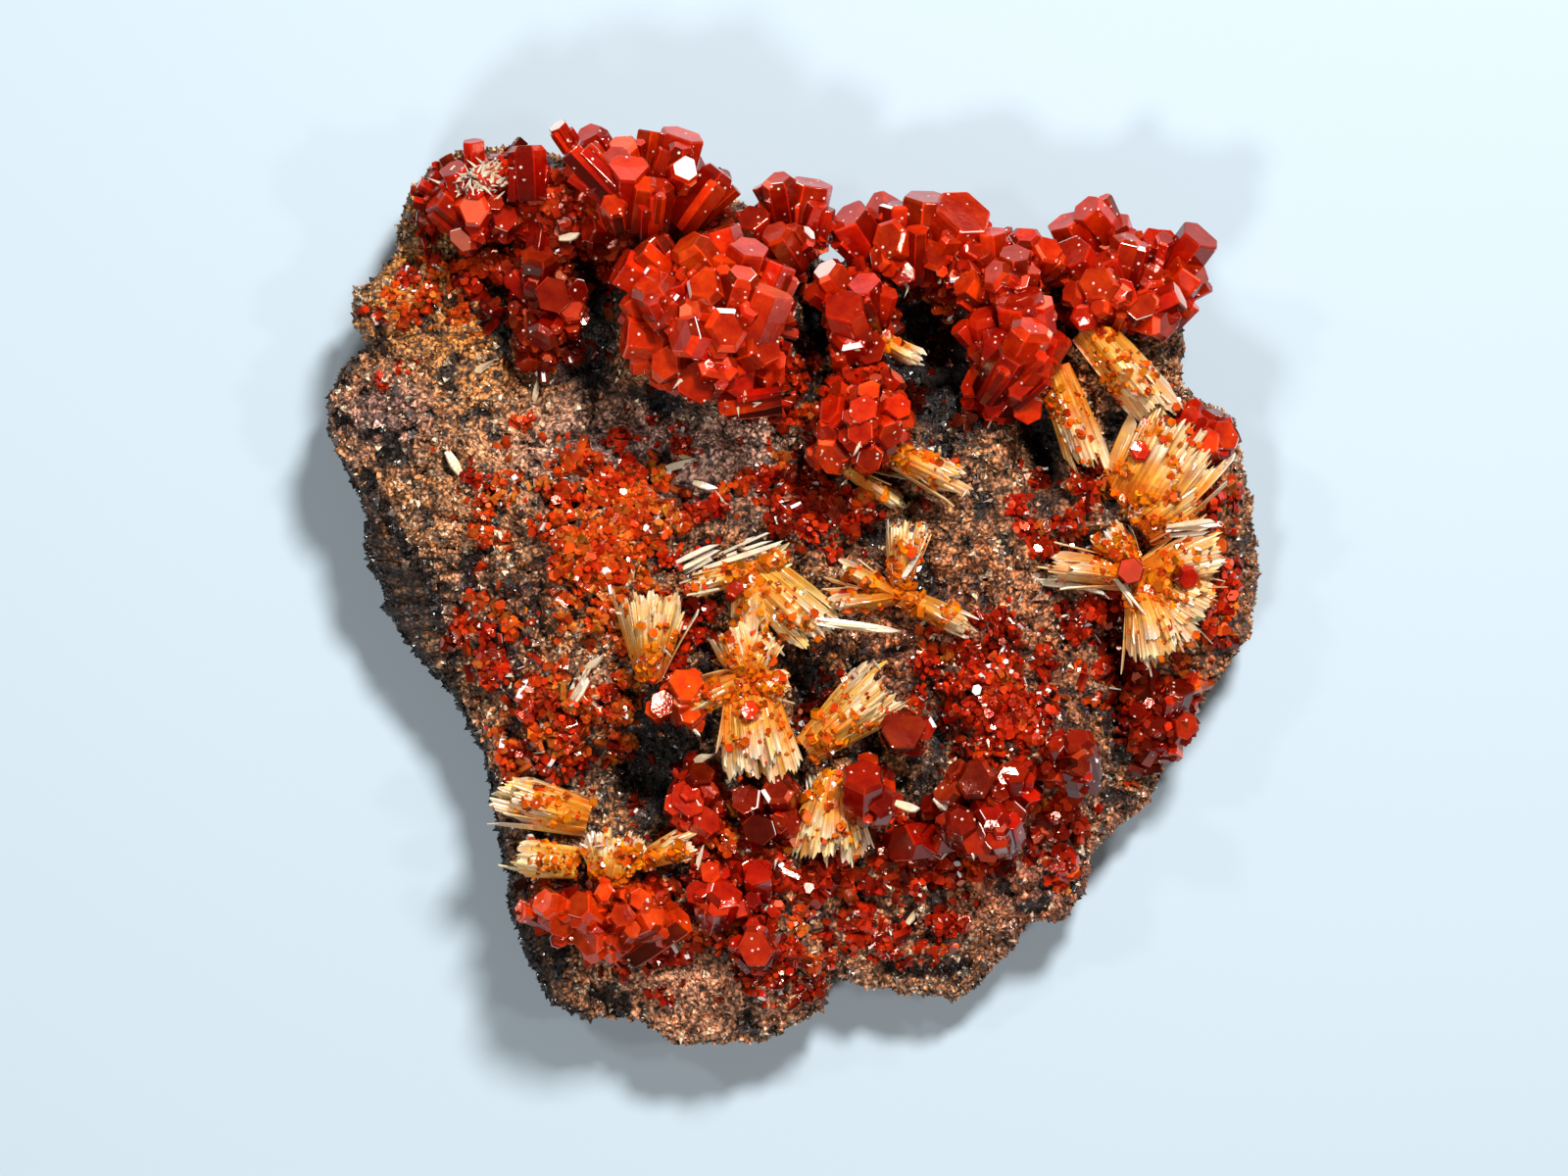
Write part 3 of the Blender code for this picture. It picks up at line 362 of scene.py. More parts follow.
rock = {
    "plateHeight": 19.0,
    "thinnest": 5.0,
    "backInset": 5.0,
    "backChamfer": 2.6,
    "sideBulge": 0.6,
    "bulgeWaves": 8.0,
    "widestAt": 0.3,
    "rimFall": (3.2, 6.5, -50.0),  # at the broken left side, more of it, and the direction of the most
    "coarseBumps": ((9.0, 1.5), (4.5, 0.8)),  # size and height
    "fineBumps": ((2.7, 0.85), (1.25, 0.55), (0.62, 0.25)),
    "pitDepth": 0.9,
    "crumble": ((3.6, 0.5), (1.5, 0.45), (0.7, 0.2)),  # unevenness of the rim
    "rimInset": 0.4,
    "cells": 226,  # along each side of the square grid
    "sideRings": (17, (1.08, 1.16, 1.25, 1.5, 1.8)),  # evenly down the side, then over the chamfer and under
    "sideRoughness": ((2.4, 0.7), (1.1, 0.4)),  # size and height
    "flares": ((180.0, 11.0, 3.8), (234.0, 8.0, 2.2)),
    "outline": (
        (47.3, -0.2), (47.4, 7.8), (46.5, 12.8), (45.5, 17.3), (41.8, 19.0), (39.6, 21.0),
        (40.1, 25.8), (38.3, 30.3), (32.3, 32.8), (25.3, 33.3), (19.3, 34.3), (12.3, 33.6),
        (6.1, 33.0), (3.5, 32.0), (1.3, 34.0), (-1.7, 37.3), (-5.7, 39.3), (-10.7, 41.3),
        (-16.7, 42.8), (-22.7, 43.6), (-28.7, 44.3), (-33.7, 44.3), (-37.2, 42.6), (-39.2, 40.3),
        (-40.2, 37.0), (-40.3, 34.3), (-44.5, 30.0), (-44.5, 26.8), (-42.9, 24.6), (-45.5, 22.0),
        (-47.3, 19.3), (-47.2, 15.8), (-45.2, 11.8), (-42.5, 7.8), (-40.2, 3.8), (-37.7, -0.2),
        (-36.7, -5.2), (-33.7, -11.2), (-31.5, -16.2), (-29.9, -22.2), (-28.9, -27.2),
        (-26.7, -33.2), (-25.1, -38.7), (-24.2, -42.4), (-19.7, -44.7), (-15.7, -44.7),
        (-10.7, -47.2), (-6.2, -47.2), (-1.2, -46.4), (3.1, -43.7), (4.3, -40.5), (9.3, -40.4),
        (16.8, -42.0), (19.0, -40.2), (24.3, -34.7), (27.8, -34.0), (30.1, -31.4), (30.8, -27.0),
        (36.3, -21.4), (38.8, -16.7), (41.8, -13.0), (43.8, -8.7), (46.5, -5.2),
    ),
    # swells and hollows: x, y, half length, half width, turn in degrees, height
    "relief": (
        (-31.0, 41.0, 10.0, 4.5, 0.0, 4.5), (-12.0, 40.0, 14.0, 4.0, -8.0, 4.5),
        (27.0, 31.5, 17.0, 4.0, -2.0, 4.0), (-8.5, 27.0, 8.0, 7.0, 0.0, 5.5),
        (-27.0, 28.0, 4.0, 9.0, 0.0, -6.0), (-19.3, 27.0, 3.0, 9.0, 0.0, -9.0),
        (-31.5, 35.5, 4.0, 3.5, 0.0, -4.0), (-12.0, 17.5, 8.0, 2.8, -10.0, -5.0),
        (2.5, 27.0, 3.0, 6.0, 10.0, -8.0), (15.0, 25.0, 5.0, 5.5, 0.0, -12.0),
        (0.5, 13.5, 4.5, 6.5, 20.0, -6.0), (9.0, 10.5, 4.5, 2.5, -30.0, -4.0),
        (8.5, 5.0, 4.5, 1.8, 30.0, -5.0), (25.5, 14.5, 2.8, 7.0, 8.0, -10.0),
        (30.5, 3.5, 4.5, 2.2, -10.0, -4.0), (30.0, -5.5, 4.0, 5.0, 0.0, -3.5),
        (34.5, -7.0, 2.2, 4.5, 0.0, -6.0), (-14.5, -20.0, 6.5, 4.5, -35.0, -11.0),
        (-10.5, -13.5, 4.0, 3.0, 0.0, -5.0), (2.0, -10.5, 2.6, 5.0, -15.0, -6.0),
        (15.5, -15.5, 2.2, 4.0, 10.0, -4.0), (-23.0, -36.5, 4.5, 2.6, 0.0, -4.0),
        (32.5, -19.0, 1.6, 5.0, -15.0, -3.5), (-43.0, 18.5, 5.0, 4.0, 0.0, 2.0),
        (-39.0, 28.0, 5.0, 5.0, 0.0, 2.5), (-37.0, 3.5, 4.0, 5.0, 0.0, 1.5),
        (-22.0, 3.5, 8.0, 6.0, -20.0, 3.0), (-23.0, -13.0, 4.5, 5.0, 0.0, 3.0),
        (21.0, -11.0, 7.5, 5.5, -20.0, 3.5), (28.5, -17.5, 3.5, 3.5, 0.0, 3.0),
        (27.0, 5.0, 5.0, 3.0, 0.0, 2.5), (42.0, 1.0, 4.0, 10.0, 0.0, 3.0),
        (-3.5, -37.0, 3.0, 3.0, 0.0, 2.5), (-10.0, -42.0, 7.0, 4.0, 0.0, 2.0),
        (24.0, -30.0, 6.0, 5.0, 0.0, 2.0),
    ),
    # painted shade in hollows, crevices and broken edges: x, y, half length, half width, turn, strength
    "hollows": (
        (-20.7, 25.8, 2.8, 7.5, 0.0, 1.1), (-29.5, 26.8, 1.6, 4.8, 0.0, 1.0),
        (-31.0, 34.3, 1.6, 2.4, 0.0, 0.7), (-13.0, 19.0, 5.0, 1.4, -12.0, 0.9),
        (2.8, 27.8, 2.2, 4.4, 0.0, 1.0), (14.0, 23.0, 5.8, 8.0, 0.0, 1.3), (2.8, 11.8, 4.6, 4.6, 0.0, 0.5),
        (26.5, 14.3, 2.0, 5.6, 0.0, 1.1), (33.0, 17.0, 1.2, 2.6, 0.0, 0.9), (33.0, 9.3, 1.8, 3.2, 0.0, 0.8),
        (29.3, 4.6, 2.8, 1.1, 0.0, 0.8), (28.3, -0.7, 2.4, 4.2, 0.0, 0.45), (34.5, -5.7, 1.7, 4.4, 0.0, 0.8),
        (34.5, -15.2, 1.5, 5.6, -10.0, 0.9), (9.0, 4.8, 2.4, 2.4, 0.0, 0.8),
        (-12.7, -19.7, 8.0, 5.4, -30.0, 1.15), (-12.7, -11.7, 2.6, 3.4, 0.0, 0.9),
        (2.5, -10.7, 2.6, 4.6, 0.0, 1.0), (15.3, -15.2, 1.8, 3.8, 0.0, 0.8),
        (13.3, -20.7, 2.2, 3.0, 0.0, 0.7), (-6.0, -36.7, 1.6, 2.6, 0.0, 0.7),
        (-24.2, -36.7, 3.2, 2.8, 0.0, 0.75), (23.3, -27.7, 2.2, 2.8, 0.0, 0.6),
        (-39.7, 2.8, 9.0, 1.4, -64.0, 1.4), (-26.1, -33.5, 9.0, 1.2, -75.0, 1.4),
        (-22.0, 33.0, 6.0, 4.0, 0.0, 0.5), (-37.5, -1.0, 1.6, 2.6, 0.0, 0.6),
        (19.8, 17.6, 3.0, 2.0, 0.0, 0.6), (-30.5, -6.4, 2.2, 1.2, 30.0, 0.6),
        (6.0, -3.6, 3.0, 1.2, 20.0, 0.5),
    ),
    "colour": (178, 114, 66),
    # painted shade deep in the hollows
    "hollowShadeColour": (15, 7, 4),
    # painted shade on the broken left side
    "brokenSideShadeColour": (15, 10, 8),
    # patches of another colour: x, y, half length, half width, turn, colour
    "patches": (
        (-39.0, 31.0, 8.0, 11.0, 0.0, (210, 136, 52)), (-33.0, 13.0, 11.0, 12.0, 0.0, (212, 142, 82)),
        (-41.5, 18.0, 6.0, 4.5, 0.0, (158, 110, 92)), (-14.0, 13.6, 12.0, 4.6, 0.0, (240, 190, 168)),
        (17.0, -5.0, 10.0, 9.0, 0.0, (184, 100, 54)), (-8.0, -42.0, 15.0, 6.0, 0.0, (250, 170, 122)),
        (26.0, -29.0, 10.0, 8.0, 0.0, (206, 122, 84)), (42.0, -4.0, 6.0, 12.0, 0.0, (190, 112, 56)),
        (22.0, 9.0, 8.0, 10.0, 0.0, (178, 116, 72)), (-34.0, -3.0, 6.0, 10.0, 0.0, (180, 124, 84)),
        (-31.0, 41.0, 6.0, 4.0, 0.0, (196, 124, 60)), (-33.0, 26.0, 4.0, 7.0, 0.0, (200, 126, 52)),
        (-36.8, 39.0, 3.4, 5.5, -40.0, (150, 100, 44)),
    ),
    "carpetStainAndShade": (92, 32, 14),  # of the rock under the carpets of small crystals: their red stain, with painted shade
    # how strongly each of these shows in the colour: creases, pits and hollows as painted shade, carpets as their
    # stain with painted shade
    "shades": {"light": 1.34, "wander": 0.65, "creases": 0.7, "pits": 0.95, "carpets": 0.55, "hollows": 0.97},
    "mottle": 0.5,
    "sideShade": (0.35, 0.63),  # painted shade of the sides, and more at the broken left side
    "brokenSide": (200.0, 40.0, 60.0),  # its direction, and how far round it is full and ends
    "grains": 36000,
    "sideGrains": 9000,
    "grainSize": (0.2, 0.56),
    "grainLightness": (-0.05, 0.95, 2.6, 0.85),  # mean and spread of its logarithm, most, brightest channel
    "paleGrains": (0.15, 0.8, (246, 216, 176)),  # share of the grains, how far they turn pale, colour
    # painted shade of the grains on the sides
    "sideGrainShade": 0.7,
    "bareGrains": 0.8,  # share of the grains that a full carpet takes away
}


rimLength, sideLength = 46, 16  # of the rim for each radian, and of the side from rim to chamfer


def rimRadius(angle):
    x, y = np.array(rock["outline"]).T
    return np.interp(angle, np.arctan2(y, x), np.hypot(x, y), period=2 * math.pi)


def rockFlare(angle):
    # how far the side stands out below the rim: a wavering bulge and a few wide swellings
    across, up = rock["bulgeWaves"] * np.cos(angle), rock["bulgeWaves"] * np.sin(angle)
    reach = rock["sideBulge"] * (1 + smoothNoise(across, up, 2.0, len(rock["coarseBumps"])))
    for towards, halfWidth, size in rock["flares"]:
        off = (np.degrees(angle) - towards + 180) % 360 - 180
        reach = reach + size * np.exp(-((off / halfWidth) ** 2))
    return reach


def broadHeight(x, y):
    # height = plate - fall * share^4 + swells and hollows + two sizes of bump, as the solid has it
    x, y = np.asarray(x, float), np.asarray(y, float)
    angle = np.arctan2(y, x)
    share = np.hypot(x, y) / rimRadius(angle)
    fall, more, towards = rock["rimFall"]
    facing = 0.5 + 0.5 * np.cos(angle - math.radians(towards))
    height = rock["plateHeight"] - (fall + more * facing) * share**4
    for cx, cy, halfLength, halfWidth, turn, rise in rock["relief"]:
        height = height + rise * blob(x, y, cx, cy, halfLength, halfWidth, turn)
    for seed, (size, rise) in enumerate(rock["coarseBumps"]):
        height = height + rise * smoothNoise(x, y, size, seed)
    return np.maximum(height, rock["thinnest"])


def fineHeight(x, y):
    # the broad height with three finer sizes of bump, each a |noise|: round lumps with sharp creases between;
    # less the pits
    height = broadHeight(x, y)
    for seed, (size, rise) in enumerate(rock["fineBumps"]):
        height = height + rise * (2.4 * np.abs(smoothNoise(x, y, size, seed + 20)) - 1)
    return height - rock["pitDepth"] * pits(x, y)


def pits(x, y):
    # 0 to 1 in small holes: where two sizes of noise are both low
    low = -smoothNoise(x, y, 2.2, 31) - 0.6 * smoothNoise(x, y, 0.9, 32)
    return smoothStep(0.25, 0.65, low)


def creases(x, y):
    # 1 along the lines where the lumps of the two larger sizes meet, 0 on the lumps
    noises = [smoothNoise(x, y, size, 20 + k) for k, (size, rise) in enumerate(rock["fineBumps"][:2])]
    larger, smaller = (smoothStep(0.16, 0.0, np.abs(noise)) for noise in noises)
    return np.maximum(larger, 0.7 * smaller)


def sunkenness(x, y):
    # the mask of the painted shade in hollows, 0 on the open surface to 1 deep in a hollow: 1.6 * (the hollows'
    # blobs by their strengths) - 0.2
    shadeDepth = sum(strength * blob(x, y, *where) for *where, strength in rock["hollows"])
    return np.clip(1.6 * shadeDepth - 0.2, 0, 1)


def surfaceNormal(x, y, heightOf, step=0.5):
    # the upward normal, from the height's differences over two steps
    dx = (heightOf(x + step, y) - heightOf(x - step, y)) / (2 * step)
    dy = (heightOf(x, y + step) - heightOf(x, y - step)) / (2 * step)
    return unit(np.stack((-dx, -dy, np.ones_like(dx)), axis=-1))


# small vanadinite on the rock: x, y, half length, half width, turn, count, radius from and to, orange from
# 0 to 1, lift
carpets = (
    (-28.5, 36.5, 6.8, 6.5, 0.0, 360, 0.35, 1.15, 0.1, 1.0),
    (-14.5, 39.5, 12.0, 4.0, -5.0, 420, 0.35, 1.2, 0.3, 1.0),
    (-25.0, 27.0, 4.5, 8.0, 10.0, 320, 0.35, 1.1, 0.0, 1.0),
    (-18.0, 34.0, 5.0, 4.0, 0.0, 200, 0.35, 1.1, 0.0, 2.0),
    (-21.5, 37.5, 7.0, 3.0, 0.0, 300, 0.4, 1.3, 0.1, 3.5),
    (-27.5, 34.5, 4.5, 4.5, 0.0, 260, 0.4, 1.3, 0.0, 3.5),
    (-10.5, 38.6, 7.0, 2.4, -10.0, 260, 0.4, 1.3, 0.15, 3.0),
    (-29.5, 40.5, 4.6, 3.2, 0.0, 220, 0.4, 1.3, 0.2, 2.5),
    (-17.5, 7.0, 6.0, 8.0, -20.0, 1050, 0.3, 0.95, 0.9, 0.5),
    (-20.0, 0.0, 6.0, 5.0, 0.0, 300, 0.3, 0.9, 1.0, 0.3),
    (-27.5, 10.0, 6.0, 9.0, 0.0, 180, 0.25, 0.7, 0.9, 0.0),
    (2.5, 8.8, 7.0, 5.0, 0.0, 560, 0.3, 0.9, 0.12, 0.0), (-7.5, 9.0, 3.5, 2.5, 0.0, 60, 0.3, 0.7, 0.6, 0.0),
    (21.5, -12.0, 7.0, 5.5, -20.0, 860, 0.3, 0.85, 0.3, 0.3),
    (16.0, -7.0, 5.0, 5.0, 0.0, 240, 0.3, 0.7, 0.5, 0.0), (28.0, 7.5, 5.0, 5.0, 0.0, 280, 0.3, 0.8, 0.5, 0.0),
    (32.0, -4.5, 4.5, 6.0, 0.0, 260, 0.35, 0.95, 0.35, 0.0),
    (0.0, -30.5, 6.5, 4.0, 0.0, 260, 0.35, 1.1, 0.3, 0.0),
    (-3.0, -26.0, 9.0, 4.5, 0.0, 380, 0.35, 1.1, 0.1, 0.0),
    (12.3, -36.5, 8.5, 3.6, 0.0, 260, 0.35, 0.95, 0.45, 0.0),
    (13.3, -27.0, 7.5, 4.0, 0.0, 320, 0.35, 1.1, 0.15, 0.0),
    (24.5, -23.5, 6.5, 6.5, 0.0, 340, 0.4, 1.2, 0.25, 0.0),
    (38.0, -11.5, 5.0, 7.0, 35.0, 340, 0.4, 1.2, 0.25, 0.0),
    (-17.0, -34.0, 12.0, 4.0, 0.0, 420, 0.35, 1.2, 0.4, 0.0),
    (-28.5, -9.0, 4.5, 9.0, 15.0, 240, 0.3, 0.9, 0.6, 0.0),
    (-20.5, -13.0, 5.0, 4.0, 0.0, 280, 0.3, 0.8, 0.85, 0.5),
    (-24.5, -17.5, 5.0, 4.0, 0.0, 220, 0.3, 0.9, 0.55, 0.0),
    (-12.5, -5.5, 4.0, 4.5, 0.0, 200, 0.3, 0.9, 0.3, 0.0),
    (-33.0, -3.5, 4.0, 5.0, 0.0, 90, 0.3, 0.9, 0.4, 0.0),
    (-37.5, 29.0, 5.5, 4.0, 0.0, 160, 0.25, 0.7, 0.95, 0.0),
    (31.0, 32.0, 12.0, 3.5, 0.0, 380, 0.35, 1.2, 0.4, 1.5),
    (13.0, 32.0, 7.5, 3.5, 0.0, 260, 0.35, 1.2, 0.3, 2.0),
    (0.0, 33.0, 3.5, 5.0, 0.0, 160, 0.35, 1.1, 0.35, 1.0),
    (7.5, 18.0, 5.5, 6.5, 0.0, 300, 0.35, 1.1, 0.5, 0.5),
    (22.5, 24.0, 5.5, 7.0, 0.0, 240, 0.35, 1.1, 0.3, 0.5),
    (-15.5, -38.5, 9.0, 3.0, 0.0, 140, 0.35, 0.9, 0.3, 0.0),
    (-1.0, -38.0, 6.0, 4.0, 0.0, 160, 0.35, 0.9, 0.3, 0.0),
    (41.5, 9.0, 4.5, 10.0, 0.0, 260, 0.35, 0.9, 0.7, 0.0),
    (44.5, 0.0, 2.5, 9.0, 0.0, 240, 0.35, 1.1, 0.5, 0.2),
    (39.5, -4.0, 4.0, 5.0, 0.0, 200, 0.35, 1.0, 0.5, 0.4),
    (-12.5, 14.0, 10.0, 3.0, -8.0, 50, 0.3, 0.8, 0.7, 0.0),
    (0.0, 0.0, 44.0, 42.0, 0.0, 900, 0.25, 0.7, 0.6, 0.0),
    (15.0, 24.0, 5.5, 6.0, 0.0, 160, 0.35, 1.0, 0.0, 0.0),
    (0.0, 22.0, 4.0, 6.0, 0.0, 140, 0.3, 0.9, 0.3, 0.0),
    (-8.0, -26.5, 4.0, 3.0, 0.0, 160, 0.3, 0.9, 0.7, 1.5),
    (3.5, -13.0, 4.0, 4.0, 0.0, 120, 0.3, 0.9, 0.1, 0.0),
    (22.0, 27.0, 4.0, 4.0, 0.0, 140, 0.35, 1.0, 0.3, 2.0),
)


def redShare(x, y):
    # how much of the rock a carpet of small crystals covers, from 0 to 1: 0.1 * the blobs by their crystals for
    # each square millimetre
    cover = sum(0.022 * row[5] / (row[2] * row[3]) * 40 * blob(x, y, *row[:5]) for row in carpets)
    return np.clip(cover * 0.12, 0, 1)


def rockColour(x, y, seed, shown):
    # the base colour, blended to each patch's by its blob, reddened and darkened under the carpets by their stain
    # and painted shade, with painted shade in creases, pits and hollows; these count by how far they are shown,
    # from 0 on the sides to 1 on the open surface
    shades = rock["shades"]
    colour = np.ones((len(x), 1)) * linear(rock["colour"])
    for *where, patch in rock["patches"]:
        share = np.clip(1.15 * blob(x, y, *where), 0, 1)[:, None]
        colour = colour * (1 - share) + linear(patch) * share
    wander = smoothNoise(x, y, 3.1, seed) * 0.5 + smoothNoise(x, y, 1.2, seed + 1) * 0.5
    colour = colour * (shades["light"] + shades["wander"] * shown * wander)[:, None]
    # painted shade in the creases between lumps and in the pits
    lit = (1 - shades["creases"] * shown * creases(x, y)) * (1 - shades["pits"] * shown * pits(x, y))
    colour = colour * lit[:, None]
    # the rock under the carpets: their red stain with painted shade
    red = (shades["carpets"] * shown * redShare(x, y))[:, None]
    colour = colour * (1 - red) + linear(rock["carpetStainAndShade"]) * red
    # painted shade in the hollows
    sunk = (shades["hollows"] * shown * sunkenness(x, y))[:, None]
    return colour * (1 - sunk) + linear(rock["hollowShadeColour"]) * sunk


def leftSide(degrees):
    # 1 at the broken left side, 0 at the others
    towards, full, end = rock["brokenSide"]
    return smoothStep(end, full, np.abs(degrees - towards))


def discFromSquare(a, b):
    # share of the radius and angle on a disc, from a point of the square -1..1: squares become rings
    sideways = np.abs(a) > np.abs(b)
    r = np.where(sideways, a, b)
    safe = np.where(r == 0, 1.0, r)
    angle = np.where(sideways, b / safe, 2 - a / safe) * math.pi / 4
    return np.abs(r), np.where(r < 0, angle + math.pi, angle)


def layeredNoise(x, y, layers, seed):
    # noise of several (size, height) added up
    return sum(height * smoothNoise(x, y, size, seed + k) for k, (size, height) in enumerate(layers))


def sidePoint(angle, down, rimZ):
    # down 0..1 goes from the rim to the chamfer's top, and 1..2 over the chamfer and along the back to its
    # middle; radius = rim + flare * sin(pi * (down + 0.5 - widest)) + crumbling and roughness
    swell = np.sin(np.pi * np.minimum(1.0, down + 0.5 - rock["widestAt"]))
    crumble = layeredNoise(angle * rimLength, down * sideLength, rock["crumble"], 40)
    rough = layeredNoise(angle * rimLength, down * sideLength, rock["sideRoughness"], 60)
    edge = rimRadius(angle)
    flare = rockFlare(angle) * swell * smoothStep(0, 0.15, down)
    radius = edge + flare - rock["rimInset"] + crumble + rough * np.minimum(down, 1) * 0.8
    z = rimZ + (rock["backChamfer"] - rimZ) * np.minimum(down, 1)
    chamfer = np.clip((down - 1) / 0.25, 0, 1)
    radius = radius * (1 - chamfer) + (edge - rock["backInset"]) * chamfer
    z = z * (1 - chamfer)
    inward = np.clip((down - 1.25) / 0.75, 0, 1)
    return np.stack((radius * (1 - inward) * np.cos(angle), radius * (1 - inward) * np.sin(angle), z), axis=-1)


def buildRock():
    # the crystal side is a square grid bent to a disc and stretched to the rim; its rim's points run on down
    # the side and in under the back, to one point in the middle
    n = rock["cells"]
    a, b = np.meshgrid(np.linspace(-1, 1, n + 1), np.linspace(-1, 1, n + 1), indexing="ij")
    share, angle = discFromSquare(a.ravel(), b.ravel())
    crumble = layeredNoise(angle * rimLength, angle * 0, rock["crumble"], 40)
    radius = rimRadius(angle) * share + (crumble - rock["rimInset"]) * share**10
    x, y = radius * np.cos(angle), radius * np.sin(angle)
    z = fineHeight(x, y)
    index = np.arange((n + 1) ** 2).reshape(n + 1, n + 1)
    top = gridFaces(index)
    rim = np.concatenate((index[:-1, 0], index[-1, :-1], index[:0:-1, -1], index[0, :0:-1]))
    even, under = rock["sideRings"]
    downs = np.concatenate((np.linspace(0, 1, even)[1:], under))
    rings = [np.stack((x, y, z), axis=-1)]
    for down in downs:
        rings.append(sidePoint(angle[rim], np.full(len(rim), down), z[rim]))
    points = np.concatenate((*rings, [[0.0, 0.0, 0.0]]))
    first = (n + 1) ** 2
    ids = np.concatenate((rim[None], first + np.arange(len(downs) * len(rim)).reshape(len(downs), -1)))
    after = np.roll(ids, -1, axis=1)
    side = np.stack((ids[:-1], ids[1:], after[1:], after[:-1]), axis=-1).reshape(-1, 4)
    cap = np.stack((ids[-1], np.full(len(rim), len(points) - 1), after[-1]), axis=-1)
    onSide = np.zeros(len(points))
    onSide[first:] = np.concatenate((np.repeat(smoothStep(0.0, 0.16, downs), len(rim)), [1.0]))
    colour = rockColour(points[:, 0], points[:, 1], 70, 1 - onSide)
    turn = np.degrees(np.arctan2(points[:, 1], points[:, 0])) % 360
    mottle = layeredNoise(turn * 0.8, points[:, 2], ((1.7, 1), (0.7, 0.6)), 75)
    colour = colour * (1 + rock["mottle"] * onSide * mottle)[:, None]
    # painted shade: the sides darker, most at the broken left side
    everywhere, more = rock["sideShade"]
    dark = (onSide * (everywhere + more * leftSide(turn)))[:, None]
    colour = colour * (1 - dark) + linear(rock["brokenSideShadeColour"]) * dark
    piece = putMesh("rock", points, [top, side, cap], rockFinish, {"tint": colour}, smooth=True)
    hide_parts("matrix")


grainShape = {
    "points": np.array([(1, 0, -0.4), (-0.5, 0.87, -0.4), (-0.5, -0.87, -0.4), (0, 0, 1.0)]),
    "faces": [np.array([(0, 1, 3), (1, 2, 3), (2, 0, 3), (2, 1, 0)])],
}


def scatter(shape, centres, axes, turns, sizes):
    # each copy's points = centre + (the shape's points * its size) turned into its own frame
    frames = framesAlong(axes, turns)
    points = centres[:, None] + (shape["points"][None] * sizes[:, None]) @ frames
    return points.reshape(-1, 3), repeatFaces(shape["faces"], len(centres), len(shape["points"]))


def buildGrains():
    # three-sided pyramids spread evenly over the crystal side, and more down the side
    rng = np.random.default_rng(11)
    low, high = rock["grainSize"]
    count = rock["grains"]
    angle, share = rng.uniform(0, 2 * math.pi, count), np.sqrt(rng.uniform(0, 1, count))
    x, y = rimRadius(angle) * share * np.cos(angle), rimRadius(angle) * share * np.sin(angle)
    bare = rng.uniform(0, 1, count) > rock["bareGrains"] * redShare(x, y)
    x, y, count = x[bare], y[bare], int(bare.sum())
    places = np.stack((x, y, fineHeight(x, y) + 0.02), axis=-1)
    normals = surfaceNormal(x, y, fineHeight, 0.3)
    turn = rng.uniform(0, 2 * math.pi, rock["sideGrains"])
    down = rng.beta(1.0, 1.6, rock["sideGrains"]) * 1.05
    edge = rimRadius(turn) - 0.5
    rimZ = fineHeight(edge * np.cos(turn), edge * np.sin(turn))
    sides = sidePoint(turn, down, rimZ)
    outward = np.stack((np.cos(turn), np.sin(turn), 0.5 - 0.5 * down), axis=-1)
    places, normals = np.concatenate((places, sides)), np.concatenate((normals, unit(outward)))
    total = len(places)
    size = rng.uniform(low, high, total) * (1 + 0.5 * (rng.uniform(0, 1, total) > 0.93))
    sizes = size[:, None] * rng.uniform(0.7, 1.2, (total, 3))
    axes = normals + rng.normal(0, 0.5, (total, 3))
    points, faces = scatter(grainShape, places, axes, rng.uniform(0, 6.3, total), sizes)
    mean, spread, most, brightest = rock["grainLightness"]
    colour = rockColour(places[:, 0], places[:, 1], 70, np.arange(total) < count)
    colour = colour * np.minimum(rng.lognormal(mean, spread, total), most)[:, None]
    colour = colour / np.maximum(1, colour.max(axis=1, keepdims=True) / brightest)
    portion, paleness, paleColour = rock["paleGrains"]
    # fewer pale grains in the hollows, with the painted shade there
    sunk = sunkenness(places[:, 0], places[:, 1])
    pale = (rng.uniform(0, 1, total) > 1 - portion + portion * sunk)[:, None]
    colour = np.where(pale, colour * (1 - paleness) + linear(paleColour) * paleness, colour)
    # painted shade on the side grains, darkest at the broken left side
    colour[count:] = colour[count:] * rock["sideGrainShade"]
    left = (0.97 * leftSide(np.degrees(turn)) * smoothStep(0.0, 0.12, down))[:, None]
    colour[count:] = colour[count:] * (1 - left) + linear(rock["brokenSideShadeColour"]) * left
    colour = np.repeat(np.clip(colour, 0, 1), len(grainShape["points"]), axis=0)
    half = total // 2
    each = len(grainShape["points"])
    for name, start, end in (("rockGrainsA", 0, half), ("rockGrainsB", half, total)):
        part = [f[start * len(s) : end * len(s)] - start * each for f, s in zip(faces, grainShape["faces"])]
        own = slice(start * each, end * each)
        piece = putMesh(name, points[own], part, druseFinish, {"tint": colour[own]})


buildRock()
buildGrains()

